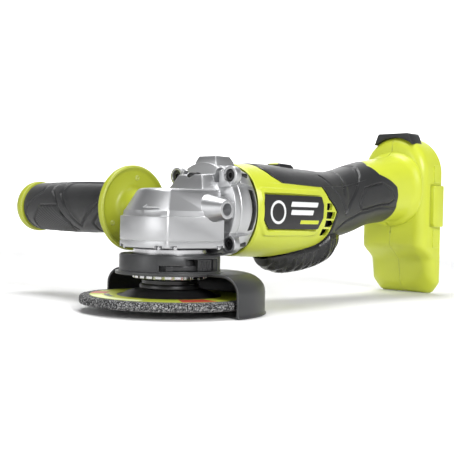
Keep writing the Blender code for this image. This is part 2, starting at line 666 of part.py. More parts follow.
def make_housing(shop):
    """Two plastic half shells, split on the middle plane, from the motor to the battery socket."""
    sunk = GRIP_THICK + GAP
    for side, name in ((-1, "housing_left"), (1, "housing_right")):
        outer = [body_ring(x, inset) for x, inset in body_stations(sunk)]
        shell = shop.loft(name, outer, "lime_plastic")
        socket = shop.loft("socket_block", [
            socket_ring(0.0, 6.0), socket_ring(2.4, 2.2), socket_ring(7.0, 0.0),
            socket_ring(0.0, 0.0, rim=True)], None, cap="strips")
        join(shell, socket)
        inside = [(48.0, SHELL_WALL)] + [(x, SHELL_WALL) for x in (80, 105, 130)]
        inside += [(x, SHELL_WALL + sunk) for x in (137, 155, 180, 205, 226)]
        cut(shell, shop.loft("housing_hollow", [body_ring(x, inset) for x, inset in inside], None))
        hollow = shop.loft("socket_hollow", [
            socket_ring(SOCKET_WALL, SOCKET_WALL + 3.0), socket_ring(SOCKET_WALL + 3.0, SOCKET_WALL),
            socket_ring(2.0, SOCKET_WALL, rim=True)], None, cap="strips")
        cut(shell, hollow)
        for x, z in HOUSING_SCREWS:
            reach = min(body_half_width(x, z - 3.8), body_half_width(x, z + 3.8)) - sunk - 2.0
            join(shell, shop.rod("screw_post", 3.8, (x, -reach, z), (x, reach, z), None, 12))
            cut(shell, shop.rod("screw_hole", 1.7, (x, -12.4, z), (x, 14, z), None, 8),
                shop.rod("screw_head_pocket", 3.1, (x, 12.1, z), (x, 40, z), None, 12))
        cut(shell, shop.box("stem_pocket", (219.4, -15.4, 3), (262, 15.4, 36.2), None))
        cut(shell, shop.box("slider_slot", (SLIDER_X[0] - SLIDER_TRAVEL - GAP, -5.2, 22),
                            (SLIDER_X[1] + GAP, 5.2, 40), None))
        cut(shell, shop.loft("pad_recess", pad_rings(1.9, 0.25, 1.0), None))
        cut(shell, shop.box("badge_recess", (54, min(side * 29.6, side * 40), -13),
                            (118, max(side * 29.6, side * 40), 12), None))
        for i in range(4):
            z = -20.0 + 7.6 * i
            vent = shop.box("intake_slot", (124, min(side * 12, side * 40), z),
                            (130 + 1.2 * i, max(side * 12, side * 40), z + 4.6), None)
            cut(shell, vent)
        cut(shell, shop.loft("screen_recess", screen_rings(0.3), None))
        half = shop.box("half_space", (40, min(side * 0.2, side * 80), -90),
                        (300, max(side * 0.2, side * 80), 90), None)
        keep_inside(shell, half)


def pad_rings(depth, grow, lift):
    """The soft top panel: a strip of the body's surface between two rising edges."""
    rings = []
    stations = 9
    for i in range(stations):
        x = PAD_X[0] - grow + (PAD_X[1] - PAD_X[0] + 2 * grow) * i / (stations - 1)
        spread = 14 + 40 * min(1.0, (x - PAD_X[0] + 6) / 40) + grow
        top, under = [], []
        for j in range(7):
            degrees = 90 + spread * (2 * j / 6 - 1)
            top.append(body_point(x, degrees, -lift))
            under.append(body_point(x, degrees, depth))
        rings.append(top + under[::-1])
    return rings


def screen_rings(grow):
    """The ribbed air-intake screen: a shallow hull that hangs under the motor housing."""
    rings = []
    for x, drop, wide in ((88, 4.0, 13), (92, 8.6, 17), (100, 11.0, 19), (110, 12.0, 20), (122, 11.8, 19.5),
                          (134, 11.2, 18.5), (146, 9.8, 16.5), (156, 6.6, 14), (163, 2.6, 11)):
        centre, tall, half = body_at(x)
        floor = centre - tall
        ring = []
        for j in range(9):
            angle = math.pi * (1 + j / 8)
            y = (wide + grow) * math.cos(angle)
            z = floor + 3.2 + (drop + 3.2 + grow) * math.sin(angle)
            ring.append((x, y, z))
        ring.append((x, (wide + grow) * 0.7, floor + 4.6 + grow))
        ring.append((x, -(wide + grow) * 0.7, floor + 4.6 + grow))
        rings.append(ring)
    if grow:
        rings[0] = [(p[0] - grow, p[1], p[2]) for p in rings[0]]
        rings[-1] = [(p[0] + grow, p[1], p[2]) for p in rings[-1]]
    return rings


def make_grips(shop):
    first, last = GRIP_X
    stations = (first, 155, 180, 205, last)
    grip = shop.loft("handle_grip", [body_ring(x) for x in stations], "rubber")
    bore = [body_ring(x, GRIP_THICK) for x in (first - 1,) + stations[1:-1] + (last + 1,)]
    cut(grip, shop.loft("grip_bore", bore, None))
    cut(grip, shop.loft("grip_screen_notch", screen_rings(0.6), None))
    for x, z in HOUSING_SCREWS[1:]:
        cut(grip, shop.rod("screw_access", 3.4, (x, 10, z), (x, 40, z), None, 12))
    pad = shop.loft("top_pad", pad_rings(1.6, 0.0, 0.0), "rubber")
    cut(pad, shop.box("pad_slot", (SLIDER_X[0] - SLIDER_TRAVEL - GAP, -7.2, 24),
                      (SLIDER_X[1] + GAP, 7.2, 40), None))
    shop.loft("intake_screen", screen_rings(0.0), "black_plastic")


def make_slider(shop):
    """Power slide switch: a ridged thumb piece above the slot and a stem through it."""
    x0, x1 = SLIDER_X
    slider = shop.box("power_slider", (x0, -6.8, 30.0), (x1, 6.8, 34.4), "black_plastic", bevel=0.9)
    join(slider, shop.box("slider_stem", (x0 + 2, -4.6, 27.2), (x1 - 2, 4.6, 31.0), None))


def make_badges(shop):
    for side, name in ((-1, "badge_left"), (1, "badge_right")):
        shop.box(name, (54.4, min(side * 29.9, side * 31.6), -12.6), (117.6, max(side * 29.9, side * 31.6), 11.6),
                 "badge", bevel=0.6)


def make_bumper(shop):
    """Soft bumper on the socket's top, which the tool leans on when it is laid down."""
    bumper = shop.loft("socket_bumper", [
        [(250.4, 19.5, 50), (250.4, -19.5, 50), (268.6, -19.5, 50), (268.6, 19.5, 50)],
        [(251.6, 15, 67.6), (251.6, -15, 67.6), (266.6, -15, 67.6), (266.6, 15, 67.6)]], "rubber")
    cut(bumper, shop.loft("bumper_seat", [
        socket_ring(-3.0, 6.0 - GAP), socket_ring(-GAP, 6.0 - GAP), socket_ring(2.1, 2.2 - GAP),
        socket_ring(6.7, -GAP), socket_ring(3.0, -GAP, rim=True)], None, cap="strips"))


def make_housing_screws(shop):
    """Screws from the right half into the left, their heads sunk in the right side."""
    for number, (x, z) in enumerate(HOUSING_SCREWS, 1):
        shop.turned(f"housing_screw_{number}", [
            (0, 14.6), (2.8, 14.6), (2.8, 12.4), (1.4, 12.4), (1.4, -12.0), (0, -12.0)],
            "steel", axis="Y", centre=(x, 0, z), steps=10)


def main():
    shop = Shop()
    make_gear_case(shop)
    make_case_screws(shop)
    make_bearing_cover(shop)
    make_bearings(shop)
    make_spindle(shop)
    make_crown_gear(shop)
    make_pinion(shop)
    make_spindle_lock(shop)
    make_wheel_set(shop)
    make_guard(shop)
    make_guard_latch(shop)
    make_side_handle(shop)
    make_adapter(shop)
    make_motor(shop)
    make_electronics(shop)
    make_housing(shop)
    make_grips(shop)
    make_slider(shop)
    make_badges(shop)
    make_bumper(shop)
    make_housing_screws(shop)


main()
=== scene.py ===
"""Cordless angle grinder: the finished surfaces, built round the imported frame.

The frame's solids hold the sizes and the motion. Each operator below makes one piece, or a group of
like pieces, with its real edges, grooves and finish, and hands it to the body that it moves with.
Lengths inside the script are millimetres from the crossing of the spindle's and the motor's axes:
X towards the battery socket, Y towards the side handle and Z up.
"""

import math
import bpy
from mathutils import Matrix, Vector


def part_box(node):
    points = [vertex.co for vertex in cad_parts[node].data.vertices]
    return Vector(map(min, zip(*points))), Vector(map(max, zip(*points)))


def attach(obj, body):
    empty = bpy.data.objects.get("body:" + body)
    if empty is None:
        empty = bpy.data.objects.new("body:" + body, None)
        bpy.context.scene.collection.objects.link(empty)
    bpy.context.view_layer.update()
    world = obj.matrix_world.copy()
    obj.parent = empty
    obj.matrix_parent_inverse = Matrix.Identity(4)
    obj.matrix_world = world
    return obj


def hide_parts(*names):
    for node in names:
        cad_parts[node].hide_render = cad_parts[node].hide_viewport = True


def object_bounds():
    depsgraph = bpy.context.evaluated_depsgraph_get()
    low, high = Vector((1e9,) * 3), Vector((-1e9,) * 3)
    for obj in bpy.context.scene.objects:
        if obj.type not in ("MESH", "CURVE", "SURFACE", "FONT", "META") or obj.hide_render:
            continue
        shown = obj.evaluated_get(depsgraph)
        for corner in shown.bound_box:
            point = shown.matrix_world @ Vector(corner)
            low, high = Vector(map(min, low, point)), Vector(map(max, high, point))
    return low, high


bl_info = {
    "name": "Cordless angle grinder",
    "version": (1, 0, 0),
    "blender": (4, 5, 0),
    "location": "3D View > Sidebar > Grinder",
    "description": "Builds the visible pieces of a cordless angle grinder round its frame",
    "category": "Add Mesh",
}

import bmesh
import bpy
from mathutils import Matrix, Vector, noise

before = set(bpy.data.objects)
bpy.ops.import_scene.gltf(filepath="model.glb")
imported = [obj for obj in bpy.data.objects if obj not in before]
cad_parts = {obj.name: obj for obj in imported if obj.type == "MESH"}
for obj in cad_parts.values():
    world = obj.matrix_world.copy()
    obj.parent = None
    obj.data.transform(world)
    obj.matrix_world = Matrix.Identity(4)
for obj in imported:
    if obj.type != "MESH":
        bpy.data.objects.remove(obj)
CAD_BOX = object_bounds()
MM = 0.001


# ---------------------------------------------------------------- what the frame gives

def node_mm(name):
    """A node's lowest and highest corner, in millimetres from the crossing of the axes."""
    low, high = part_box(name)
    return (low - CROSSING) / MM, (high - CROSSING) / MM


def middle(name):
    low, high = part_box(name)
    return (low + high) / 2


CROSSING = Vector((0.0, 0.0, middle("motor_shaft").z))
FLOOR_Z = CAD_BOX[0].z
WHEEL_LOW, WHEEL_HIGH = node_mm("grinding_wheel")
WHEEL_R = WHEEL_HIGH.x
GUARD_LOW, GUARD_HIGH = node_mm("guard_shroud")
COLLAR_LOW, COLLAR_HIGH = node_mm("guard_collar")
HANDLE_X = node_mm("handle_stud")[0].x + (node_mm("handle_stud")[1].x - node_mm("handle_stud")[0].x) / 2
FLANGE_LOW, FLANGE_HIGH = node_mm("handle_flange")
CASE_HIGH = node_mm("gear_case")[1]
ADAPTER_LOW, ADAPTER_HIGH = node_mm("motor_adapter")
SOCKET_HIGH = node_mm("housing_left")[1]
SOCKET_LOW = node_mm("housing_left")[0]


# ---------------------------------------------------------------- shapes of the housing

# x, centre height, half height and half width of the housing's section
BODY = [
    (49.3, 0.0, 31.3, 31.3),
    (80.0, 0.0, 32.4, 31.2),
    (105.0, -0.2, 31.6, 30.0),
    (130.0, 1.0, 29.8, 27.6),
    (155.0, 4.8, 25.8, 24.6),
    (180.0, 9.8, 25.4, 23.4),
    (205.0, 16.2, 25.0, 23.4),
    (228.0, 19.4, 25.8, 24.6),
    (250.0, 21.0, 27.6, 26.6),
]
SQUARENESS = 2.25

# How far back the coloured motor shell reaches, by the angle down from the top
SHELL_EDGE = [(0, 67.5), (30, 67.5), (46, 71.5), (56.6, 79), (57.6, 126), (66, 128.5), (76, 131.5), (93, 142),
              (104, 139), (124, 136.5), (135, 133), (142, 129), (148, 114), (157, 99), (166, 92), (180, 89)]
# How far back the soft grip reaches
GRIP_EDGE = [(0, 206), (26, 199), (31, 200), (56, 204), (73, 215), (85, 222), (96, 223.5), (110, 223.5),
             (120, 225),
             (180, 226)]
# Upper edge of the air intake's screen, by x, and how far the screen hangs below the housing
SCREEN_EDGE = [(88, 168), (92, 165), (99, 156), (114, 147), (130, 141), (137, 125), (146, 129), (156, 141),
               (164, 156), (168, 172)]
SCREEN_DROP = [(87.5, 0.5), (89.5, 6.0), (98, 9.4), (109, 12.0), (132, 12.6), (146, 13.2), (156, 10.6),
               (164, 4.4),
               (168, 0.2)]
SCREEN_X = (87.5, 168.0)


def between(table, key, smooth=False):
    """Value of a column table at a key, straight or eased between its rows."""
    if key <= table[0][0]:
        return table[0][1]
    for (a, low), (b, high) in zip(table, table[1:]):
        if key <= b:
            t = (key - a) / (b - a)
            if smooth:
                t = t * t * (3 - 2 * t)
            return low + (high - low) * t
    return table[-1][1]


def body_at(x):
    """Centre height, half height and half width at x, on smooth curves through the sections."""
    rows = BODY
    last = len(rows) - 1
    i = max(0, min(last - 1, sum(1 for row in rows if row[0] <= x) - 1))
    before, a, b, after = rows[max(0, i - 1)], rows[i], rows[i + 1], rows[min(last, i + 2)]
    t = (x - a[0]) / (b[0] - a[0])
    values = []
    for k in (1, 2, 3):
        span = b[0] - a[0]
        slope_a = (b[k] - before[k]) / (b[0] - before[0]) * span
        slope_b = (after[k] - a[k]) / (after[0] - a[0]) * span
        h = t * t * (3 - 2 * t)
        values.append(a[k] + (b[k] - a[k]) * h + slope_a * t * (1 - t) ** 2 - slope_b * t * t * (1 - t))
    return values


def on_body(x, down, side, lift=0.0):
    """Point on the housing at x and an angle down from the top, on the left (-1) or right (+1)."""
    centre, tall, wide = body_at(x)
    angle = math.radians(90 - down)
    c, s = math.cos(angle), math.sin(angle)
    y = abs(c) ** (2 / SQUARENESS) * (wide + lift)
    z = math.copysign(abs(s) ** (2 / SQUARENESS), s) * (tall + lift) + centre
    return Vector((x, side * y, z))


def distance_to_line(point, line):
    """Shortest distance from a flat point to a polyline."""
    best = 1e9
    for a, b in zip(line, line[1:]):
        ax, ay, bx, by = a[0], a[1], b[0], b[1]
        dx, dy = bx - ax, by - ay
        t = ((point[0] - ax) * dx + (point[1] - ay) * dy) / (dx * dx + dy * dy)
        t = max(0.0, min(1.0, t))
        best = min(best, math.hypot(point[0] - ax - t * dx, point[1] - ay - t * dy))
    return best


def inside_outline(point, outline):
    inside = False
    for (ax, ay), (bx, by) in zip(outline, outline[1:] + outline[:1]):
        if (ay > point[1]) != (by > point[1]):
            if point[0] < (bx - ax) * (point[1] - ay) / (by - ay) + ax:
                inside = not inside
    return inside


def groove(distance, half_width, depth):
    """Height of a round-bottomed groove at a distance from its middle line."""
    if distance >= half_width:
        return 0.0
    return -depth * (1 - (distance / half_width) ** 2)


def eased(t):
    t = max(0.0, min(1.0, t))
    return t * t * (3 - 2 * t)


# ---------------------------------------------------------------- modelling tools

def spot(point):
    """A point in millimetres from the axes' crossing, as a place in the frame."""
    return Vector(point) * MM + CROSSING


def new_collection(name):
    collection = bpy.data.collections.new(name)
    bpy.context.scene.collection.children.link(collection)
    return collection


PIECES = new_collection("grinder_pieces")


def solid(name, bm):
    """An object of a mesh that was built in millimetres."""
    bmesh.ops.remove_doubles(bm, verts=bm.verts, dist=0.001)
    bmesh.ops.recalc_face_normals(bm, faces=bm.faces)
    for vertex in bm.verts:
        vertex.co = spot(vertex.co)
    mesh = bpy.data.meshes.new(name)
    bm.to_mesh(mesh)
    bm.free()
    item = bpy.data.objects.new(name, mesh)
    PIECES.objects.link(item)
    return item


def grid_faces(bm, rows, wrap_rows=False, wrap_columns=False):
    """Quads between rows of points; returns the rows of vertices."""
    made = [[bm.verts.new(p) for p in row] for row in rows]
    pairs = list(zip(made, made[1:]))
    if wrap_rows:
        pairs.append((made[-1], made[0]))
    for a, b in pairs:
        count = len(a)
        for i in range(count if wrap_columns else count - 1):
            j = (i + 1) % count
            bm.faces.new((a[i], a[j], b[j], b[i]))
    return made


def loft(name, rings, wrap=False):
    """Skin over rings of the same count, with flat ends unless it wraps round."""
    bm = bmesh.new()
    made = grid_faces(bm, rings, wrap_rows=wrap, wrap_columns=True)
    if not wrap:
        bm.faces.new(made[0][::-1])
        bm.faces.new(made[-1])
    return solid(name, bm)


def turned(name, profile, axis="Z", centre=(0, 0, 0), steps=64, sweep=None, wobble=None):
    """Profile of (radius, height) pairs turned about an axis; it closes where it touches the axis.

    A sweep of (first, last) degrees makes a part turn with flat ends, whose profile is closed.
    """
    def place(radius, height, angle):
        if wobble:
            radius, height = wobble(radius, height, angle)
        u, v = radius * math.cos(angle), radius * math.sin(angle)
        point = {"Z": (u, v, height), "Y": (u, height, v), "X": (height, u, v)}[axis]
        return Vector(point) + Vector(centre)
    bm = bmesh.new()
    if sweep:
        first, last = (math.radians(a) for a in sweep)
        rows = [[place(r, h, first + (last - first) * i / steps) for r,
                 h in profile] for i in range(steps + 1)]
        made = grid_faces(bm, rows, wrap_columns=True)
        bm.faces.new(made[0][::-1])
        bm.faces.new(made[-1])
        return solid(name, bm)
    rows = [[place(r, h, 2 * math.pi * i / steps) for i in range(steps)] for r, h in profile]
    closed = profile[0][0] > 0.001 and profile[-1][0] > 0.001
    grid_faces(bm, rows, wrap_rows=closed, wrap_columns=True)
    return solid(name, bm)


def rod(name, radius, start, end, sides=32, end_radius=None):
    """Round bar between two points, which may taper."""
    start, end = Vector(start), Vector(end)
    way = end - start
    bm = bmesh.new()
    turn = way.to_track_quat("Z", "Y").to_matrix().to_4x4()
    bmesh.ops.create_cone(bm, cap_ends=True, segments=sides, radius1=radius,
                          radius2=radius if end_radius is None else end_radius, depth=way.length,
                          matrix=Matrix.Translation((start + end) / 2) @ turn)
    return solid(name, bm)


def block(name, low, high):
    low, high = Vector(low), Vector(high)
    bm = bmesh.new()
    size = high - low
    bmesh.ops.create_cube(bm, size=1.0,
                          matrix=Matrix.Translation((low + high) / 2) @ Matrix.Diagonal((*size, 1.0)))
    return solid(name, bm)


def slab(name, outline, axis, low, high):
    """Flat outline pushed along an axis from low to high."""
    def place(a, b, h):
        return {"X": (h, a, b), "Y": (a, h, b), "Z": (a, b, h)}[axis]
    return loft(name, [[place(a, b, low) for a, b in outline], [place(a, b, high) for a, b in outline]])


def bead(name, points, radius, closed=False, sides=3):
    """Round wire along points."""
    curve = bpy.data.curves.new(name, "CURVE")
    curve.dimensions = "3D"
    curve.bevel_depth = radius * MM
    curve.bevel_resolution = sides
    curve.use_fill_caps = True
    spline = curve.splines.new("POLY")
    spline.points.add(len(points) - 1)
    for knot, point in zip(spline.points, points):
        knot.co = (*spot(point), 1.0)
    spline.use_cyclic_u = closed
    guide = bpy.data.objects.new(name + "_wire", curve)
    PIECES.objects.link(guide)
    view = bpy.context.evaluated_depsgraph_get()
    mesh = bpy.data.meshes.new_from_object(guide.evaluated_get(view))
    bpy.data.objects.remove(guide, do_unlink=True)
    bm = bmesh.new()
    bm.from_mesh(mesh)
    bmesh.ops.remove_doubles(bm, verts=bm.verts, dist=0.000002)
    bm.to_mesh(mesh)
    bm.free()
    item = bpy.data.objects.new(name, mesh)
    PIECES.objects.link(item)
    return item


def settle(item):
    """Make an object's modifiers part of its mesh."""
    view = bpy.context.evaluated_depsgraph_get()
    mesh = bpy.data.meshes.new_from_object(item.evaluated_get(view))
    item.modifiers.clear()
    item.data = mesh
    return item


def combine(item, others, operation):
    for other in others:
        boolean = item.modifiers.new("combine", "BOOLEAN")
        boolean.operation = operation
        boolean.solver = "EXACT"
        boolean.object = other
    settle(item)
    for other in others:
        bpy.data.objects.remove(other, do_unlink=True)
    return item


def fuse(item, *others):
    return combine(item, others, "UNION")


def carve(item, *others):
    return combine(item, others, "DIFFERENCE")


def soften(item, width, segments=2, angle=32):
    """Round the edges sharper than an angle."""
    bevel = item.modifiers.new("soft edges", "BEVEL")
    bevel.width = width * MM
    bevel.segments = segments
    bevel.limit_method = "ANGLE"
    bevel.angle_limit = math.radians(angle)
    bevel.use_clamp_overlap = True
    bevel.harden_normals = False
    return settle(item)


def thicken(item, thickness):
    """Give an open skin a wall that grows inwards."""
    wall = item.modifiers.new("wall", "SOLIDIFY")
    wall.thickness = thickness * MM
    wall.offset = -1.0
    return settle(item)


def shade(item, angle=40):
    item.data.shade_smooth()
    item.data.set_sharp_from_angle(angle=math.radians(angle))


def present(item, finish, body, stands_for=(), angle=40):
    """Dress a piece, and hand it to the body that it moves with."""
    item.data.materials.clear()
    item.data.materials.append(finish)
    shade(item, angle)
    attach(item, body)
    if stands_for:
        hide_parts(*stands_for)
    return item


def dress(names, finish, bevel=0.0, angle=35):
    """Give nodes that keep their own shape a finish and, where asked, softer edges."""
    for name in names:
        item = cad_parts[name]
        item.data.materials.clear()
        item.data.materials.append(finish)
        for polygon in item.data.polygons:
            polygon.use_smooth = True
        item.data.set_sharp_from_angle(angle=math.radians(angle))
        if bevel:
            edges = item.modifiers.new("soft edges", "BEVEL")
            edges.width = bevel * MM
            edges.segments = 2
            edges.limit_method = "ANGLE"
            edges.angle_limit = math.radians(angle)


def rounded(corners, radius, steps=5):
    """Flat outline with its corners rounded; a corner may carry its own radius as a third value."""
    outline = []
    count = len(corners)
    for i, corner in enumerate(corners):
        own = corner[2] if len(corner) > 2 else radius
        here = Vector(corner[:2])
        before = Vector(corners[i - 1][:2])
        after = Vector(corners[(i + 1) % count][:2])
        if own <= 0:
            outline.append(tuple(here))
            continue
        to_before, to_after = (before - here).normalized(), (after - here).normalized()
        half = to_before.angle(to_after) / 2
        run = min(own / math.tan(half), (before - here).length * 0.48, (after - here).length * 0.48)
        start, end = here + to_before * run, here + to_after * run
        for k in range(steps + 1):
            t = k / steps
            outline.append(tuple((1 - t) ** 2 * start + 2 * t * (1 - t) * here + t * t * end))
    return outline


# ---------------------------------------------------------------- finishes

def new_group(name, inputs, outputs):
    group = bpy.data.node_groups.new(name, "ShaderNodeTree")
    for label, kind, value in inputs:
        socket = group.interface.new_socket(name=label, in_out="INPUT", socket_type=kind)
        socket.default_value = value
    for label, kind in outputs:
        group.interface.new_socket(name=label, in_out="OUTPUT", socket_type=kind)
    return group, group.nodes.new("NodeGroupInput"), group.nodes.new("NodeGroupOutput")


def math_node(tree, operation, first, second=None, clamp=False):
    """A Math node between sockets or plain numbers; returns its output."""
    node = tree.nodes.new("ShaderNodeMath")
    node.operation = operation
    node.use_clamp = clamp
    for index, value in enumerate((first, second)):
        if value is None:
            continue
        if isinstance(value, (int, float)):
            node.inputs[index].default_value = value
        else:
            tree.links.new(value, node.inputs[index])
    return node.outputs[0]


def noise_node(tree, scale, detail=2.0, stretch=None):
    """Noise over the object's own coordinates, whose scale is in cycles per metre."""
    place = tree.nodes.new("ShaderNodeTexCoord")
    node = tree.nodes.new("ShaderNodeTexNoise")
    node.inputs["Detail"].default_value = detail
    source = place.outputs["Object"]
    if stretch:
        mapping = tree.nodes.new("ShaderNodeMapping")
        mapping.inputs["Scale"].default_value = stretch
        tree.links.new(source, mapping.inputs["Vector"])
        source = mapping.outputs["Vector"]
    tree.links.new(source, node.inputs["Vector"])
    if isinstance(scale, (int, float)):
        node.inputs["Scale"].default_value = scale
    else:
        tree.links.new(scale, node.inputs["Scale"])
    return node.outputs["Fac"]


def group_moulded_grain():
    """Fine pebbled skin of a moulded or cast surface, with a slow unevenness under it."""
    group, given, out = new_group("Moulded grain", [
        ("Scale", "NodeSocketFloat", 900.0), ("Unevenness", "NodeSocketFloat", 0.3)],
        [("Height", "NodeSocketFloat"), ("Patches", "NodeSocketFloat")])
    fine = noise_node(group, given.outputs["Scale"], 3.0)
    slow = noise_node(group, 38.0, 2.0)
    height = math_node(group, "ADD", fine, math_node(group, "MULTIPLY", slow, given.outputs["Unevenness"]))
    group.links.new(height, out.inputs["Height"])
    group.links.new(slow, out.inputs["Patches"])
    return group


def group_edge_highlight_and_wear():
    """Mask of painted edge highlight and wear: bright along convex and concave edges, broken up by noise."""
    group, given, out = new_group("Edge highlight and wear", [
        ("Width", "NodeSocketFloat", 0.0006), ("Strength", "NodeSocketFloat", 6.0)],
        [("Edges", "NodeSocketFloat")])
    bevel = group.nodes.new("ShaderNodeBevel")
    bevel.samples = 4
    group.links.new(given.outputs["Width"], bevel.inputs["Radius"])
    here = group.nodes.new("ShaderNodeNewGeometry")
    dot = group.nodes.new("ShaderNodeVectorMath")
    dot.operation = "DOT_PRODUCT"
    group.links.new(bevel.outputs["Normal"], dot.inputs[0])
    group.links.new(here.outputs["Normal"], dot.inputs[1])
    bend = math_node(group, "SUBTRACT", 1.0, dot.outputs["Value"])
    strong = math_node(group, "MULTIPLY", bend, given.outputs["Strength"], clamp=True)
    breaks = math_node(group, "ADD", noise_node(group, 420.0, 2.0), 0.35, clamp=True)
    group.links.new(math_node(group, "MULTIPLY", strong, breaks, clamp=True), out.inputs["Edges"])
    return group


def group_grit():
    """Bonded grains: pale and dark specks of two sizes."""
    group, given, out = new_group("Bonded grit", [
        ("Scale", "NodeSocketFloat", 1500.0)], [("Specks", "NodeSocketFloat"), ("Height", "NodeSocketFloat")])
    place = group.nodes.new("ShaderNodeTexCoord")
    cells = group.nodes.new("ShaderNodeTexVoronoi")
    group.links.new(place.outputs["Object"], cells.inputs["Vector"])
    group.links.new(given.outputs["Scale"], cells.inputs["Scale"])
    tone = group.nodes.new("ShaderNodeSeparateColor")
    group.links.new(cells.outputs["Color"], tone.inputs["Color"])
    coarse = noise_node(group, 700.0, 3.0)
    mixed = math_node(group, "MULTIPLY", tone.outputs[0], coarse)
    group.links.new(math_node(group, "POWER", mixed, 1.6), out.inputs["Specks"])
    group.links.new(math_node(group, "ADD", mixed, cells.outputs["Distance"]), out.inputs["Height"])
    return group


def shared_group(maker):
    """The node group that a maker builds, built once."""
    name = {"group_moulded_grain": "Moulded grain", "group_edge_highlight_and_wear": "Edge highlight and wear",
            "group_grit": "Bonded grit"}[maker.__name__]
    return bpy.data.node_groups.get(name) or maker()


def finish(name):
    """The material of a finish, built when it is first asked for."""
    ready = bpy.data.materials.get("finish_" + name)
    return ready or FINISHES[name]("finish_" + name)


def moulded(name, colour, rough, metallic=0.0, grain=900.0, depth=0.02, edge_gain=0.25, edge_width=0.5,
            edge_strength=5.0, patches=0.06, sheen=0.0, coat=0.0, rough_patches=0.1):
    """Moulded, cast or painted surface: grain in its bump, patches in its tone and paler edges of painted
    highlight and wear.
    """
    material = bpy.data.materials.new(name)
    material.use_nodes = True
    tree = material.node_tree
    shader = tree.nodes["Principled BSDF"]
    shader.inputs["Metallic"].default_value = metallic
    shader.inputs["Sheen Weight"].default_value = sheen
    shader.inputs["Coat Weight"].default_value = coat
    shader.inputs["Coat Roughness"].default_value = 0.15
    skin = tree.nodes.new("ShaderNodeGroup")
    skin.node_tree = shared_group(group_moulded_grain)
    skin.inputs["Scale"].default_value = grain
    edges = tree.nodes.new("ShaderNodeGroup")
    edges.node_tree = shared_group(group_edge_highlight_and_wear)
    edges.inputs["Width"].default_value = edge_width * MM
    edges.inputs["Strength"].default_value = edge_strength
    tone = tree.nodes.new("ShaderNodeMix")
    tone.data_type = "RGBA"
    tone.inputs["A"].default_value = (*[c * (1 - patches) for c in colour], 1)
    tone.inputs["B"].default_value = (*[min(1, c * (1 + patches)) for c in colour], 1)
    tree.links.new(skin.outputs["Patches"], tone.inputs["Factor"])
    # Paler edges: painted highlight along the edges, with some wear; edge_gain sets how much lighter they are
    highlight_and_wear = tree.nodes.new("ShaderNodeMix")
    highlight_and_wear.data_type = "RGBA"
    highlight_and_wear.inputs["B"].default_value = (*[min(1, c + edge_gain) for c in colour], 1)
    tree.links.new(edges.outputs["Edges"], highlight_and_wear.inputs["Factor"])
    tree.links.new(tone.outputs["Result"], highlight_and_wear.inputs["A"])
    tree.links.new(highlight_and_wear.outputs["Result"], shader.inputs["Base Color"])
    roughness = math_node(tree, "ADD", math_node(tree, "MULTIPLY", skin.outputs["Patches"], rough_patches),
                          rough - rough_patches / 2, clamp=True)
    tree.links.new(roughness, shader.inputs["Roughness"])
    bump = tree.nodes.new("ShaderNodeBump")
    bump.inputs["Strength"].default_value = min(1.0, depth * 10)
    bump.inputs["Distance"].default_value = depth * MM
    tree.links.new(skin.outputs["Height"], bump.inputs["Height"])
    tree.links.new(bump.outputs["Normal"], shader.inputs["Normal"])
    return material


def colours():
    return bpy.context.scene.grinder_colours


def detail():
    return bpy.context.scene.grinder_detail


def lime_finish(name):
    return moulded(name, colours().lime, 0.36, grain=1100.0, depth=0.02, edge_gain=0.22, edge_width=0.5,
                   edge_strength=3.0, patches=0.05, coat=0.08)


def flange_finish(name):
    # The housing's lime darkened to 0.72 is painted shade: a shaded copy of the lime for the hand guard and end
    # cap, and its edge_gain paints a brighter rim
    return moulded(name, [c * 0.72 for c in colours().lime], 0.4, grain=900.0, depth=0.02, edge_gain=0.3,
                   edge_width=0.7, edge_strength=5.0, patches=0.05)


def rubber_finish(name):
    return moulded(name, colours().rubber, 0.42, grain=1500.0, depth=0.06, edge_gain=0.05, edge_width=0.5,
                   edge_strength=5.0, patches=0.15, sheen=0.06)


def black_finish(name):
    return moulded(name, colours().black, 0.38, grain=1200.0, depth=0.04, edge_gain=0.07, edge_width=0.4,
                   edge_strength=5.0, patches=0.12)


def lattice_finish(name):
    return moulded(name, [c * 0.6 for c in colours().black], 0.28, grain=900.0, depth=0.02, edge_gain=0.06,
                   edge_width=0.4, edge_strength=4.0, patches=0.1)


def cast_finish(name):
    # Its large edge_gain paints bright highlights along the cast edges
    return moulded(name, colours().aluminium, 0.4, metallic=0.9, grain=1700.0, depth=0.05, edge_gain=0.5,
                   edge_width=0.5, edge_strength=6.0, patches=0.07, rough_patches=0.14)


def guard_finish(name):
    return moulded(name, colours().guard, 0.4, metallic=0.35, grain=1300.0, depth=0.04, edge_gain=0.16,
                   edge_width=0.4, edge_strength=5.0, patches=0.1)


def machined_finish(name):
    return moulded(name, colours().steel, 0.24, metallic=1.0, grain=2600.0, depth=0.02, edge_gain=0.3,
                   edge_width=0.3, edge_strength=5.0, patches=0.08)


def dark_steel_finish(name):
    return moulded(name, (0.05, 0.05, 0.052), 0.32, metallic=0.7, grain=1500.0, depth=0.02, edge_gain=0.2,
                   edge_width=0.3, edge_strength=5.0, patches=0.1)


def badge_finish(name):
    return moulded(name, (0.012, 0.012, 0.013), 0.4, grain=600.0, depth=0.01, edge_gain=0.04, edge_width=0.3,
                   patches=0.1)


def mark_finish(name):
    return moulded(name, (0.75, 0.76, 0.77), 0.4, grain=700.0, depth=0.01, edge_gain=0.0, patches=0.03)


def copper_finish(name):
    return moulded(name, (0.55, 0.24, 0.1), 0.35, metallic=1.0, grain=1800.0, depth=0.05, edge_gain=0.2,
                   patches=0.2)


def board_finish(name):
    return moulded(name, (0.02, 0.11, 0.05), 0.35, grain=500.0, depth=0.02, edge_gain=0.1, patches=0.2)


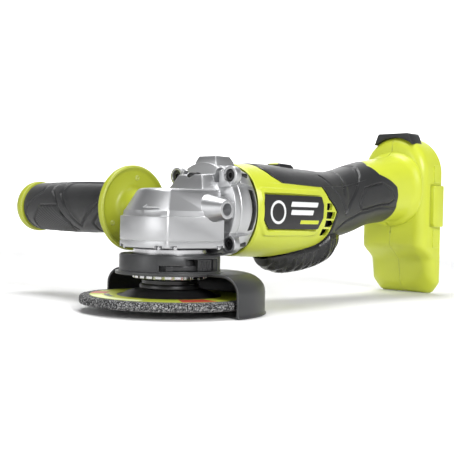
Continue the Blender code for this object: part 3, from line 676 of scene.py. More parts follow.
def red_finish(name):
    return moulded(name, (0.45, 0.04, 0.02), 0.5, grain=1500.0, depth=0.02, edge_gain=0.0, patches=0.1)


def label_finish(name):
    return moulded(name, [c * 0.8 for c in colours().lime], 0.5, grain=1500.0, depth=0.02, edge_gain=0.0,
                   patches=0.1)


def pale_label_finish(name):
    return moulded(name, (0.72, 0.78, 0.4), 0.5, grain=1500.0, depth=0.02, edge_gain=0.0, patches=0.1)


def grit_finish(name):
    """Bonded abrasive: dark binder full of pale and dark grains."""
    material = bpy.data.materials.new(name)
    material.use_nodes = True
    tree = material.node_tree
    shader = tree.nodes["Principled BSDF"]
    shader.inputs["Roughness"].default_value = 0.85
    grains = tree.nodes.new("ShaderNodeGroup")
    grains.node_tree = shared_group(group_grit)
    grains.inputs["Scale"].default_value = detail().grit_scale
    ramp = tree.nodes.new("ShaderNodeValToRGB")
    ramp.color_ramp.elements[0].position = 0.05
    ramp.color_ramp.elements[0].color = (0.012, 0.012, 0.013, 1)
    ramp.color_ramp.elements[1].position = 0.42
    ramp.color_ramp.elements[1].color = (0.42, 0.42, 0.42, 1)
    tree.links.new(grains.outputs["Specks"], ramp.inputs["Fac"])
    tree.links.new(ramp.outputs["Color"], shader.inputs["Base Color"])
    bump = tree.nodes.new("ShaderNodeBump")
    bump.inputs["Strength"].default_value = 0.8
    bump.inputs["Distance"].default_value = 0.3 * MM
    tree.links.new(grains.outputs["Height"], bump.inputs["Height"])
    tree.links.new(bump.outputs["Normal"], shader.inputs["Normal"])
    return material


FINISHES = {
    "lime": lime_finish, "flange": flange_finish, "rubber": rubber_finish, "black": black_finish,
    "lattice": lattice_finish, "cast": cast_finish, "guard": guard_finish, "machined": machined_finish,
    "dark_steel": dark_steel_finish, "badge": badge_finish, "mark": mark_finish, "copper": copper_finish,
    "board": board_finish, "red": red_finish, "label": label_finish, "pale_label": pale_label_finish,
    "grit": grit_finish,
}


# ---------------------------------------------------------------- settings

class GrinderColours(bpy.types.PropertyGroup):
    lime: bpy.props.FloatVectorProperty(
        name="Housing", description="Colour of the moulded housing", subtype="COLOR", size=3, min=0, max=1,
        default=(0.55, 0.61, 0.042))
    rubber: bpy.props.FloatVectorProperty(
        name="Grips", description="Colour of the soft grips", subtype="COLOR", size=3, min=0, max=1,
        default=(0.015, 0.0155, 0.0165))
    black: bpy.props.FloatVectorProperty(
        name="Black plastic", description="Colour of the slider, screen and buttons", subtype="COLOR", size=3,
        min=0, max=1, default=(0.012, 0.012, 0.013))
    aluminium: bpy.props.FloatVectorProperty(
        name="Castings", description="Colour of the cast gear case and adapter", subtype="COLOR", size=3,
        min=0, max=1, default=(0.52, 0.525, 0.535))
    guard: bpy.props.FloatVectorProperty(
        name="Guard", description="Colour of the guard's paint", subtype="COLOR", size=3, min=0, max=1,
        default=(0.05, 0.051, 0.053))
    steel: bpy.props.FloatVectorProperty(
        name="Machined steel", description="Colour of machined steel", subtype="COLOR", size=3, min=0, max=1,
        default=(0.62, 0.62, 0.63))


class GrinderDetail(bpy.types.PropertyGroup):
    groove_depth: bpy.props.FloatProperty(
        name="Groove depth", description="Depth of the lines moulded into the grips", unit="LENGTH", min=0,
        max=0.002, default=0.0011)
    groove_width: bpy.props.FloatProperty(
        name="Groove width", description="Width of the lines moulded into the grips", unit="LENGTH",
        min=0.0002, max=0.004, default=0.0019)
    ridge_height: bpy.props.FloatProperty(
        name="Badge rim", description="How far the rim round each badge stands proud", unit="LENGTH", min=0,
        max=0.003, default=0.0012)
    lattice_pitch: bpy.props.FloatProperty(
        name="Screen pitch", description="Spacing of the air screen's bars", unit="LENGTH", min=0.003,
        max=0.015, default=0.0068)
    grit_scale: bpy.props.FloatProperty(
        name="Grit", description="Grains of the wheel per metre", min=300, max=5000, default=1500)
    rim_chips: bpy.props.FloatProperty(
        name="Rim roughness", description="Unevenness of the wheel's rim", unit="LENGTH", min=0, max=0.001,
        default=0.00035)


# ---------------------------------------------------------------- housing

BADGE = [(54.6, -6.8), (59.4, -12.9), (113.2, -12.9), (119.2, -5.0), (119.8, 5.4), (117.0, 11.6),
         (54.6, 11.6)]
VENTS = [(126.6, 134.8, 1.6, 6.6), (126.4, 139.0, -4.6, 0.4), (125.6, 138.4, -10.6, -5.8),
         (122.8, 134.0, -16.8, -12.0)]
SEAM_DOWN = 0.5              # degrees kept clear of the middle plane
WALL = 2.4


def downs(first, last, step, extra=()):
    """Angles from first to last at about a step, with some extra ones between."""
    count = max(2, round((last - first) / step))
    values = {round(first + (last - first) * i / count, 3) for i in range(count + 1)}
    values.update(v for v in extra if first < v < last)
    return sorted(values)


def skin(name, side, angles, start, end, lift, columns):
    """Open patch of the housing's surface between two edges that depend on the angle."""
    rows = []
    for down in angles:
        x0, x1 = start(down), end(down)
        row = []
        for i in range(columns + 1):
            x = x0 + (x1 - x0) * i / columns
            row.append(on_body(x, down, side, lift(x, down)))
        rows.append(row)
    bm = bmesh.new()
    grid_faces(bm, rows)
    item = solid(name, bm)
    outward(item, side)
    return item


def outward(item, side):
    """Turn an open half skin's faces away from the housing's middle."""
    vote = sum(polygon.normal.y * polygon.area for polygon in item.data.polygons)
    if vote * side < 0:
        item.data.flip_normals()


def shell_lift(x, down):
    """Motor shell: seat for the badge, the rim round it and a rounded front edge."""
    lift = 0.0
    if 60 < down < 130:
        z = on_body(x, down, 1).z
        away = distance_to_line((x, z), BADGE + BADGE[:1])
        rim = detail().ridge_height / MM
        if inside_outline((x, z), BADGE):
            lift -= 0.9 * eased(away / 0.5)
            lift += rim * eased(1 - away / 0.5)
        elif away < 4.2:
            lift += rim * eased((4.2 - away) / 1.2)
    edge = between(SHELL_EDGE, down) - x
    lift -= 0.9 * eased(1 - edge / 1.6)
    lift -= 0.7 * eased(1 - (x - 49.3) / 1.2)
    return lift


def make_motor_shell(side, body, node):
    word = "left" if side < 0 else "right"
    angles = downs(SEAM_DOWN, 180 - SEAM_DOWN, 1.6, (56.5, 57.6, 56.0, 58.2))
    shell = skin(f"motor_shell_{word}", side, angles, lambda a: 49.5, lambda a: between(SHELL_EDGE, a),
                 shell_lift, 64)
    thicken(shell, WALL)
    cuts = []
    for x0, x1, z0, z1 in VENTS:
        shear = 1.6
        outline = [(x0, z0), (x1 - shear, z0), (x1, (z0 + z1) / 2), (x1 - shear / 2, z1), (x0 + 0.6, z1)]
        cuts.append(slab("vent", outline, "Y", *sorted((side * 12, side * 40))))
    carve(shell, *cuts)
    present(shell, finish("lime"), body, (node,), angle=32)
    liner = skin(f"vent_liner_{word}", side, downs(66, 134, 4), lambda a: 120.0,
                 lambda a: between(SHELL_EDGE, a) - 0.5, lambda x, a: -4.2, 8)
    thicken(liner, 0.8)
    present(liner, finish("black"), body)


def make_badge(side, body, node):
    """Plate with a plain emblem: a ring and three bars."""
    word = "left" if side < 0 else "right"
    face = abs(node_mm(node)[0 if side < 0 else 1].y)
    inner = [(x + (0.8 if x < 80 else -0.8), z + (0.7 if z < 0 else -0.7)) for x, z in BADGE]
    plate = slab(f"badge_plate_{word}", rounded(inner, 1.2), "Y", side * (face - 1.4), side * (face - 0.15))
    soften(plate, 0.3)
    present(plate, finish("badge"), body, (node,))
    top = side * face
    low, high = min(side * (face - 0.5), top), max(side * (face - 0.5), top)
    ring = turned(f"badge_ring_{word}", [(8.0, low), (8.0, high), (6.2, high), (6.2, low)], "Y",
                  (69.0, 0, -0.8), 48)
    present(ring, finish("mark"), body)
    for number, (x0, x1, z, tall, look) in enumerate((
            (82, 111, 3.2, 3.4, "mark"), (82, 106, -2.4, 3.4, "mark"), (92, 112, -8.6, 2.6, "lime"))):
        lean = 1.2
        outline = [(x0, z), (x1, z), (x1 + lean, z + tall), (x0 + lean, z + tall)]
        bar = slab(f"badge_bar_{word}_{number + 1}", rounded(outline, 0.5, 3), "Y", low, high)
        present(bar, finish(look), body)


GRIP_LINES = [
    [(186, 0), (185.8, 20), (180.4, 42), (168.9, 70), (159.2, 87), (154.5, 99)],
    [(131, 34), (141, 65), (147, 78), (154.5, 99)],
    [(159, 0), (158.7, 18), (158.6, 35), (155, 58), (152, 72)],
    [(145, 122), (156, 112.5), (175, 106), (204, 113), (224, 121)],
]
GRIP_PANEL = [(181, 71), (203, 73), (214, 88), (218.5, 101), (212, 108), (175, 101), (172, 92)]
DOWN_TO_MM = 0.44            # arc length of one degree round the grip


def arc(line):
    return [(x, down * DOWN_TO_MM) for x, down in line]


def grip_lift(x, down):
    """Grip: rounded ends, moulded lines, a raised saddle and a raised side panel."""
    settings = detail()
    here = (x, down * DOWN_TO_MM)
    lift = 0.55
    for line in GRIP_LINES:
        lift += groove(distance_to_line(here, arc(line)), settings.groove_width / MM / 2 + 0.25,
                       settings.groove_depth / MM)
    panel = arc(GRIP_PANEL)
    away = distance_to_line(here, panel + panel[:1])
    if inside_outline(here, panel):
        lift += 0.5 * eased(away / 1.6)
    lift += groove(away, 0.9, settings.groove_depth / MM)
    saddle = arc([(159, 0), (158.6, 35), (154.5, 99), (159.2, 87), (168.9, 70), (180.4, 42), (186, 0)])
    if inside_outline(here, saddle):
        lift -= 0.5 * eased(distance_to_line(here, saddle) / 3.0)
    lift += 0.7 * eased((x - 196) / 20) * eased(1 - abs(down - 95) / 70)
    start = x - between(SHELL_EDGE, down)
    end = between(GRIP_EDGE, down) - x
    lift -= 0.8 * eased(1 - start / 1.5)
    lift -= 0.8 * eased(1 - end / 1.5)
    return lift


def make_grip_skin(body):
    """The soft grip: both halves of its skin made as one piece, and the top panel in it."""
    angles = downs(0, 180, 1.3, (56.0, 56.5, 57.6, 58.2))
    halves = []
    for side in (-1, 1):
        half = skin("grip_half", side, angles, lambda a: between(SHELL_EDGE, a) + 0.5,
                    lambda a: between(GRIP_EDGE, a), grip_lift, 170)
        halves.append(half)
    grip = merge(halves, "grip_skin")
    thicken(grip, 1.8)
    slot = block("slot", (SLIDER[0].x - 8.4, -5.0, 22), (SLIDER[1].x + 0.4, 5.0, 45))
    carve(grip, slot)
    present(grip, finish("rubber"), body, ("handle_grip", "top_pad"), angle=60)


def merge(items, name):
    """Join open skins along their shared edge."""
    bm = bmesh.new()
    for item in items:
        bm.from_mesh(item.data)
        bpy.data.objects.remove(item, do_unlink=True)
    bmesh.ops.remove_doubles(bm, verts=bm.verts, dist=0.00001)
    mesh = bpy.data.meshes.new(name)
    bm.to_mesh(mesh)
    bm.free()
    piece = bpy.data.objects.new(name, mesh)
    PIECES.objects.link(piece)
    return piece


def make_neck_skin(side, body):
    """Moulded neck between the grip and the socket, flared where it meets the socket's wall."""
    word = "left" if side < 0 else "right"

    def lift(x, down):
        flare = 3.2 * eased((x - 239) / 11) ** 2
        return flare - 0.7 * eased(1 - (x - between(GRIP_EDGE, down)) / 1.4)
    angles = downs(SEAM_DOWN, 180 - SEAM_DOWN, 2.2)
    neck = skin(f"neck_skin_{word}", side, angles, lambda a: between(GRIP_EDGE, a) + 0.5, lambda a: 250.6,
                lift, 36)
    thicken(neck, WALL)
    present(neck, finish("lime"), body, angle=40)


# ---------------------------------------------------------------- battery socket

SOCKET_ARCH_Z = 34.0
SOCKET_FOOT = SOCKET_LOW.z
SOCKET_RIM = SOCKET_HIGH.x
SOCKET_WIDE = 31.0
SOCKET_WALL = 2.6


def socket_front(z):
    """How far forward the socket's front wall lies at a height, with its bends eased."""
    upper = 250.0
    lower = 264.2 + max(0.0, -38.0 - z) * 0.16
    return upper + (lower - upper) * eased((-25.0 - z) / 14.0)


def socket_side(inset):
    """Outline of one half, from the middle of the foot up the side and over the arch."""
    wide = SOCKET_WIDE - inset
    foot = SOCKET_FOOT + inset
    flat = wide - 9
    line = [(0.2, foot), (flat * 0.35, foot), (flat * 0.7, foot), (flat, foot), (wide - 6, foot + 1.2),
            (wide - 1.4, foot + 7), (wide, foot + 9.6)]
    corner = foot + 9.6
    line += [(wide, corner + (-36 - corner) * share) for share in (0.2, 0.45, 0.7, 0.9)]
    line += [(wide, z) for z in (-36, -33, -30, -27, -25, -18, -10, 0, 10, 18, 26)]
    for i in range(25):
        angle = math.radians(90 * i / 24)
        line.append((max(0.2, wide * math.cos(angle)), SOCKET_ARCH_Z + wide * math.sin(angle)))
    return line


def socket_rings():
    """Rings of the half socket's wall, each out along its outside and back along its inside.

    They run from the rim to the rounded front edge, then across the front wall towards its middle.
    """
    edge, heart = 9.0, -15.0
    rings = []

    def add(outer, inner, share=1.0):
        ring = []
        for (inset, place), way in ((outer, 1), (inner, -1)):
            line = [(0.2 + (y - 0.2) * share, heart + (z - heart) * share) for y, z in socket_side(inset)]
            ring += [(place(z), y, z) for y, z in line][::way]
        rings.append(ring)

    for share in (0.0, 0.33, 0.66):
        def along(z, share=share):
            return SOCKET_RIM + (socket_front(z) + edge - SOCKET_RIM) * share
        add((0.0, along), (SOCKET_WALL, along))
    for i in range(7):
        angle = math.radians(90 * i / 6)
        inwards, back = 1 - math.cos(angle), 1 - math.sin(angle)
        bend = edge - SOCKET_WALL
        add((edge * inwards, lambda z, d=edge * back: socket_front(z) + d),
            (SOCKET_WALL + bend * inwards, lambda z, d=SOCKET_WALL + bend * back: socket_front(z) + d))
    for i in range(1, 14):
        add((edge, socket_front), (edge, lambda z: socket_front(z) + SOCKET_WALL), 1 - i / 13.3)
    return rings


def make_socket(side, body):
    """Half of the battery socket: round-topped cup with a pocket, a side boss and two raised patches."""
    word = "left" if side < 0 else "right"
    cup = loft(f"socket_{word}", [[(x, side * y, z) for x, y, z in ring] for ring in socket_rings()])
    low, high = sorted((side * -1.0, side * 15.4))
    carve(cup, block("pocket", (244, low, 3), (262, high, 36.2)))
    boss = slab("boss", rounded([(261.5, 22), (263.5, 24.5), (276.5, 24.5), (276.5, -9.5), (263.5, -9.5),
                                 (261.5, -7)], 1.0, 3), "Y", *sorted((side * 29, side * 34.4)))
    soften(boss, 0.8, 2)
    patch_high = slab("patch", rounded([(266, 27), (275.6, 27), (275.6, 41), (266, 41)], 0.8, 2), "Y",
                      *sorted((side * 29, side * 31.7)))
    patch_low = slab("patch", rounded([(266, -12), (275.6, -12), (275.6, -27), (266, -27)], 0.8, 2), "Y",
                     *sorted((side * 29, side * 31.7)))
    fuse(cup, boss, patch_high, patch_low)
    present(cup, finish("lime"), body, angle=38)


def make_bumper(body):
    low, high = node_mm("socket_bumper")
    top = high.z
    outline = rounded([(-19.2, 56), (-15.4, top - 1.6, 1.6), (-14.0, top, 1.0), (14.0, top, 1.0),
                       (15.4, top - 1.6, 1.6), (19.2, 56)], 0.0)
    pad = slab("bumper_pad", outline, "X", low.x + 0.3, high.x - 0.3)
    inside = slab("under", [(30.4 * math.cos(a), SOCKET_ARCH_Z + 30.4 * math.sin(a))
                            for a in (math.pi * i / 40 for i in range(41))], "X", low.x - 3, high.x + 3)
    carve(pad, inside)
    soften(pad, 0.9, 3)
    present(pad, finish("rubber"), body, ("socket_bumper",))


# ---------------------------------------------------------------- screen, slider and housing screws

SLIDER = node_mm("power_slider")


def screen_surface(x, share, side, depth):
    """Point on the screen's hull; share runs from its upper edge to the bottom line."""
    edge = between(SCREEN_EDGE, x)
    down = edge + (180 - edge) * share
    drop = between(SCREEN_DROP, x, True) * math.sin(share * math.pi / 2) ** 0.75
    return on_body(x, down, side, 1.3 + drop - depth)


def lattice_depth(x, across):
    """Depth of the screen's openings: cells between two sets of slanted bars."""
    pitch = detail().lattice_pitch / MM
    u = (x * 0.8 + across * 0.6) / pitch
    v = (x * 0.8 - across * 0.6) / pitch
    to_bar = min(abs(u - round(u)), abs(v - round(v))) * pitch
    return 1.5 * eased((to_bar - 0.9) / 0.7)


def make_screen(body):
    """Black intake screen: a hull that hangs under the housing, pierced by a slanted lattice."""
    rows = []
    count = 110
    half = 44
    for i in range(count + 1):
        x = SCREEN_X[0] + (SCREEN_X[1] - SCREEN_X[0]) * i / count
        row = []
        for side, shares in ((-1, range(half + 1)), (1, range(half - 1, -1, -1))):
            for j in shares:
                share = j / half
                plain = screen_surface(x, share, side, 0.0)
                border = min(share * 30, (x - SCREEN_X[0]) * 0.7, (SCREEN_X[1] - x) * 0.7)
                deep = lattice_depth(x, math.atan2(plain.y, 30.0) * 30.0) * eased((border - 2.4) / 1.2)
                row.append(screen_surface(x, share, side, deep))
        rows.append(row)
    bm = bmesh.new()
    grid_faces(bm, rows)
    screen = solid("intake_lattice", bm)
    down_vote = sum(p.normal.z * p.area for p in screen.data.polygons)
    if down_vote > 0:
        screen.data.flip_normals()
    thicken(screen, 1.6)
    present(screen, finish("lattice"), body, ("intake_screen",), angle=50)


def make_slider(body):
    """Thumb piece of the slide switch, ridged across, with a coloured flag at its front."""
    low, high = SLIDER
    base = high.z - 3.4
    pad = loft("slider_thumb", [
        [(low.x, -6.6, base), (high.x, -6.6, base), (high.x, 6.6, base), (low.x, 6.6, base)],
        [(low.x, -6.6, base + 1.4), (high.x, -6.6, base + 1.2), (high.x, 6.6, base + 1.2),
         (low.x, 6.6, base + 1.4)],
        [(low.x + 1.4, -5.4, high.z), (high.x - 1.6, -5.4, high.z - 0.5), (high.x - 1.6, 5.4, high.z - 0.5),
         (low.x + 1.4, 5.4, high.z)]])
    stem = block("stem", (low.x + 2, -4.5, low.z), (high.x - 2, 4.5, base + 0.5))
    soften(pad, 0.6, 3)
    ridges = [block("ridge", (low.x + 4.2 + 2.3 * i, -7.5, high.z - 1.0),
                    (low.x + 5.2 + 2.3 * i, 7.5, high.z + 2))
              for i in range(4)]
    fuse(pad, stem)
    carve(pad, *ridges)
    present(pad, finish("black"), body, ("power_slider",))
    flag = loft("slider_flag", [
        [(low.x + 0.7, -4.4, high.z - 1.0), (low.x + 3.4, -4.4, high.z - 0.4),
         (low.x + 3.4, 4.4, high.z - 0.4),
         (low.x + 0.7, 4.4, high.z - 1.0)],
        [(low.x + 1.3, -4.2, high.z + 0.02), (low.x + 3.3, -4.2, high.z + 0.02),
         (low.x + 3.3, 4.2, high.z + 0.02),
         (low.x + 1.3, 4.2, high.z + 0.02)]])
    soften(flag, 0.2)
    present(flag, finish("lime"), body)


# ---------------------------------------------------------------- gear case and adapter

FLANGE_BACK = CASE_HIGH.x    # rear face of the case's flange
FLANGE_FRONT = FLANGE_BACK - 6.0
FLANGE_R = 31.0
HEAD_BACK = 20.5
LINK_Y = 18.0                # half width of the case between its head and its flange
BOSS_Y = CASE_HIGH.y


def screw_place(number):
    """Where a cap screw's head starts, and the screw's y and z; its lug stands a little outside the bore."""
    low, high = node_mm(f"case_screw_{number}")
    y = (low.y + high.y) / 2
    return low.x + 1.8, y + math.copysign(2.4, y), (low.z + high.z) / 2


def head_ring(inset, z):
    """The gear head seen from above: bulged front, rounded corners and sides that widen."""
    corner_x, corner_y = -23.5 + inset, 22.4 - inset * 0.85
    nose = -29.5 + inset
    corners = [(HEAD_BACK, 27.7 - inset * 0.8, 0), (corner_x, corner_y, 2.6)]
    for t in (0.75, 0.5, 0.25, 0.0, -0.25, -0.5, -0.75):
        corners.append((corner_x - (corner_x - nose) * (1 - t * t), corner_y * t, 0))
    corners += [(corner_x, -corner_y, 2.6), (HEAD_BACK, -(27.7 - inset * 0.8), 0)]
    return [(x, y, z) for x, y in rounded(corners, 0, 5)]


# Where the case's lower rim is notched, on both sides of each front corner and near the flange
RIM_NOTCHES = [(x, side * y) for side in (-1, 1) for x, y in ((-25.6, 17.0), (-18.6, 24.6), (17.6, 28.6))]


def make_gear_case(body):
    """Cast case: lower wall with a parting line, sloped shoulders, raised block, flange and bosses."""
    case = loft("gear_casting", [head_ring(inset, z) for inset, z in (
        (0.7, -25.0), (0.12, -24.5), (0.0, -24.0), (0.0, -20.7), (0.35, -20.45), (0.35, -20.05), (0.0, -19.8),
        (0.0, -5.7), (0.25, -5.2), (1.0, -5.0), (1.3, -4.6), (1.7, -1.6), (2.4, -0.9), (7.6, 10.2), (8.4,
                                                                                                     11.4),
        (9.4, 12.2), (10.6, 12.5))])
    block_body = loft("raised_block", [
        [(10.4, 16.8, 6), (10.4, -16.8, 6), (29, -18, 6), (29, 18, 6)],
        [(11.8, 15.8, 13), (11.8, -15.8, 13), (29, -17.4, 13), (29, 17.4, 13)],
        [(16.4, 10.8, 22.4), (16.4, -10.8, 22.4), (29, -13.2, 23.6), (29, 13.2, 23.6)]])
    soften(block_body, 0.9, 3)
    link = block("link", (12, -LINK_Y, -25), (29, LINK_Y, 11))
    soften(link, 1.2, 3)
    flange = turned("round_flange", [(0, FLANGE_FRONT), (FLANGE_R - 1.1, FLANGE_FRONT),
                                     (FLANGE_R - 0.3, FLANGE_FRONT + 0.4), (FLANGE_R, FLANGE_FRONT + 1.2),
                                     (FLANGE_R, FLANGE_BACK - 0.5), (FLANGE_R - 0.5, FLANGE_BACK), (0,
                                                                                                    FLANGE_BACK)],
                    "X", steps=96)
    add, take = [block_body, link, flange], []
    for number in range(1, 5):
        start, y, z = screw_place(number)
        front = start - 0.9
        lug = rod("lug", 6.0, (front, y, z), (FLANGE_BACK - 0.4, y, z), 32)
        soften(lug, 0.5, 2)
        ear = slab("ear", [(y * 0.5, z * 0.62), (y * 1.1, z * 0.66), (y * 0.74, z * 1.16),
                           (y * 0.5, z * 1.1)], "X",
                   FLANGE_FRONT - 0.8, FLANGE_BACK - 0.4)
        soften(ear, 0.4, 2)
        add += [lug, ear]
        take.append(rod("head_pocket", 4.25, (front - 3, y, z), (start + 3.4, y, z), 32))
        if z > 0:
            side = math.copysign(1, y)
            take.append(slab("pentagon_pocket", [(side * 12.6, 17.6), (side * 12.6, 25.2),
                                                 (side * 15.6, 27.6),
                                                 (side * 17.0, 26.6), (side * 17.0, 17.6)], "X",
                             FLANGE_FRONT - 3, FLANGE_BACK - 1.6))
    for side in (-1, 1):
        boss = rod("boss", 9.6, (HANDLE_X, side * 20, 0), (HANDLE_X, side * BOSS_Y, 0), 48, 6.0)
        cheek = loft("cheek", [
            [(HANDLE_X - 7.4, side * 21, -5.4), (HANDLE_X - 7.4, side * 21, 5.6), (29, side * 21, 9),
             (29, side * 21, -9)],
            [(HANDLE_X - 4.6, side * 33.0, -4.0), (HANDLE_X - 4.6, side * 33.0, 4.2), (28.4, side * 29.0, 5),
             (28.4, side * 29.0, -5)]])
        add += [boss, cheek]
        take.append(rod("stud_hole", 4.0, (HANDLE_X, side * 25.5, 0), (HANDLE_X, side * (BOSS_Y + 2), 0), 32))
    take.append(turned("neck_room", [(0, -60), (23.8, -60), (23.8, -24.8), (0, -24.8)], "Z", steps=72))
    take.append(block("collar_room", (17, -31, -40), (40, 31, COLLAR_HIGH.z + 0.4)))
    take.append(rod("button_well", 4.85, (middle_mm("spindle_lock_button").x, 0, 13.5),
                    (middle_mm("spindle_lock_button").x, 0, 26), 32))
    for x, y in RIM_NOTCHES:
        take.append(block("rim_notch", (x - 2.6, y - 2.6, -26), (x + 2.6, y + 2.6, -23.0)))
    fuse(case, *add)
    carve(case, *take)
    soften(case, 0.28, 2, 38)
    present(case, finish("cast"), body, ("gear_case",), angle=32)
    make_case_arrow(body)
    make_case_marks(body)


def middle_mm(name):
    low, high = node_mm(name)
    return (low + high) / 2


def make_case_arrow(body):
    """Raised arrow on the sloped front, which shows the way the wheel turns."""
    def on_slope(t, up):
        inset = 2.4 + 5.2 * up
        z = -0.9 + 11.1 * up
        corner_x, corner_y = -23.5 + inset, 22.4 - inset * 0.85
        nose = -29.5 + inset
        return Vector((corner_x - (corner_x - nose) * (1 - t * t) - 0.05, corner_y * t, z))
    shaft = [on_slope(-0.74 + 0.58 * i / 8, 0.10 + 0.03 * i / 8) for i in range(9)]
    arrow = bead("direction_arrow", shaft, 0.42)
    present(arrow, finish("cast"), body)
    tip = shaft[-1]
    barb = bead("arrow_barb", [tip, on_slope(-0.30, 0.24)], 0.42)
    present(barb, finish("cast"), body)


def make_case_marks(body):
    """Small clips that show in the notches at the foot of the case."""
    for number, (x, y) in enumerate(RIM_NOTCHES, 1):
        clip = block(f"foot_clip_{number}", (x * 0.94 - 0.9, y * 0.94 - 0.9, -25.6),
                     (x * 0.94 + 0.9, y * 0.94 + 0.9, -23.4))
        soften(clip, 0.25)
        present(clip, finish("machined"), body)


def make_adapter(body):
    """Ring between case and housing: a waisted drum with four flat lands, exhaust slots and top boss."""
    x0, x1 = FLANGE_BACK + 0.3, ADAPTER_HIGH.x
    front = ADAPTER_LOW.x
    ring = turned("adapter_casting", [
        (9.4, front), (14.0, front), (14.0, x0), (FLANGE_R - 0.6, x0), (FLANGE_R - 0.2, x0 + 0.5),
        (FLANGE_R - 0.2, x0 + 6.4), (FLANGE_R + 0.2, x0 + 7.2), (FLANGE_R + 0.2, x1 - 1.6), (FLANGE_R - 0.6,
                                                                                             x1 - 0.2),
        (28.0, x1 - 0.2), (28.0, 38.4), (11.2, 38.4), (11.2, 29.8), (9.4, 29.8)], "X", steps=96)
    add, take = [], []
    for side in (-1, 1):
        for up in (-1, 1):
            rings = [[(x, side * y, up * z) for y, z in section] for x, section in (
                (x0 + 0.3, ((14, 27.4), (25.4, 25.6), (29.0, 17.2), (20, 15))),
                (x0 + 5.4, ((14, 27.6), (25.0, 25.2), (29.2, 16.6), (20, 15))),
                (x1 - 1.2, ((14, 27.4), (22.6, 23.4), (27.2, 15.8), (20, 15))))]
            land = loft("land", rings)
            soften(land, 0.6, 2)
            add.append(land)
        low, high = sorted((side * 24, side * 36))
        outline = rounded([(42.0, -13.8), (46.4, -13.0), (47.4, 0), (46.4, 13.0), (42.0, 13.8), (43.0, 0)],
                          0.7, 3)
        take.append(slab("exhaust", outline, "Y", low, high))
    boss = loft("top_boss", [
        [(29.8, 10.5, 27), (29.8, -10.5, 27), (48.4, -10.5, 27), (48.4, 10.5, 27)],
        [(30.0, 9.6, 31.5), (30.0, -9.6, 31.5), (47.8, -9.6, 31.5), (47.8, 9.6, 31.5)],
        [(31.6, 7.9, 35.6), (31.6, -7.9, 35.6), (45.5, -7.9, 35.6), (45.5, 7.9, 35.6)]])
    soften(boss, 0.8, 3)
    add.append(boss)
    take.append(rod("top_hole", 4.0, (38.5, 0, 29.6), (38.5, 0, 38), 32))
    take.append(block("collar_room", (17, -31, -40), (38, 31, COLLAR_HIGH.z + 0.4)))
    core = turned("motor_room", [(0, 38.5), (27.9, 38.5), (27.9, x1 + 1), (0, x1 + 1)], "X", steps=64)
    fuse(ring, *add)
    carve(ring, core, *take)
    soften(ring, 0.25, 2, 38)
    present(ring, finish("cast"), body, ("motor_adapter",), angle=32)


def make_cap_screws(body):
    """Socket cap screws: round head with a hexagon socket, and a shank."""
    for number in range(1, 5):
        start, y, z = screw_place(number)
        head = turned(f"cap_screw_{number}", [
            (0, start + 14.0), (1.9, start + 14.0), (1.9, start + 2.9), (3.7, start + 2.9), (3.7,
                                                                                             start + 0.5),
            (3.3, start), (0, start)], "X", (0, y, z), 24)
        socket = slab("hexagon", [(y + 2.0 * math.cos(math.radians(60 * i)),
                                   z + 2.0 * math.sin(math.radians(60 * i)))
                                  for i in range(6)], "X", start - 1, start + 1.8)
        carve(head, socket)
        present(head, finish("dark_steel"), body, (f"case_screw_{number}",))


# ---------------------------------------------------------------- neck, spindle and wheel

def make_neck(body):
    """Clamping neck: ground ring above, and square teeth round the foot."""
    low, high = node_mm("bearing_cover")
    outer = high.x
    neck = turned("clamp_neck", [
        (16.3, high.z), (outer - 0.6, high.z), (outer, high.z - 0.6), (outer, low.z + 4.3), (outer - 1.0,
                                                                                             low.z + 3.9),
        (outer - 1.0, low.z + 3.5), (outer + 0.2, low.z + 3.3), (outer + 0.2, low.z + 0.4), (outer - 0.3,
                                                                                             low.z),
        (9.3, low.z), (9.3, -38.6), (16.3, -38.6)], "Z", steps=96)
    notches = []
    for i in range(24):
        bm = bmesh.new()
        place = Matrix.Rotation(math.radians(15 * (i + 0.5)), 4, "Z") @ Matrix.Translation((outer, 0, low.z))
        bmesh.ops.create_cube(bm, size=1.0, matrix=place @ Matrix.Diagonal((4.0, 2.2, 6.6, 1.0)))
        notches.append(solid("notch", bm))
    comb = notches[0]
    comb_mesh = bmesh.new()
    for item in notches:
        comb_mesh.from_mesh(item.data)
    comb_mesh.to_mesh(comb.data)
    comb_mesh.free()
    for item in notches[1:]:
        bpy.data.objects.remove(item, do_unlink=True)
    carve(neck, comb)
    soften(neck, 0.15, 2, 50)
    present(neck, finish("machined"), body, ("bearing_cover",), angle=30)


def wheel_wobble(radius, height, angle):
    """Chipped grain round the wheel's rim."""
    if radius < WHEEL_R - 10:
        return radius, height
    chip = detail().rim_chips / MM
    n = noise.noise(Vector((math.cos(angle) * 60, math.sin(angle) * 60, height * 1.3)))
    m = noise.noise(Vector((math.cos(angle) * 60 + 9, math.sin(angle) * 60, height * 1.3 + radius * 2)))
    share = eased((radius - WHEEL_R + 10) / 9)
    return radius - chip * abs(n) * share, height + chip * 0.8 * m * share * (1 if height > -58 else 0.3)


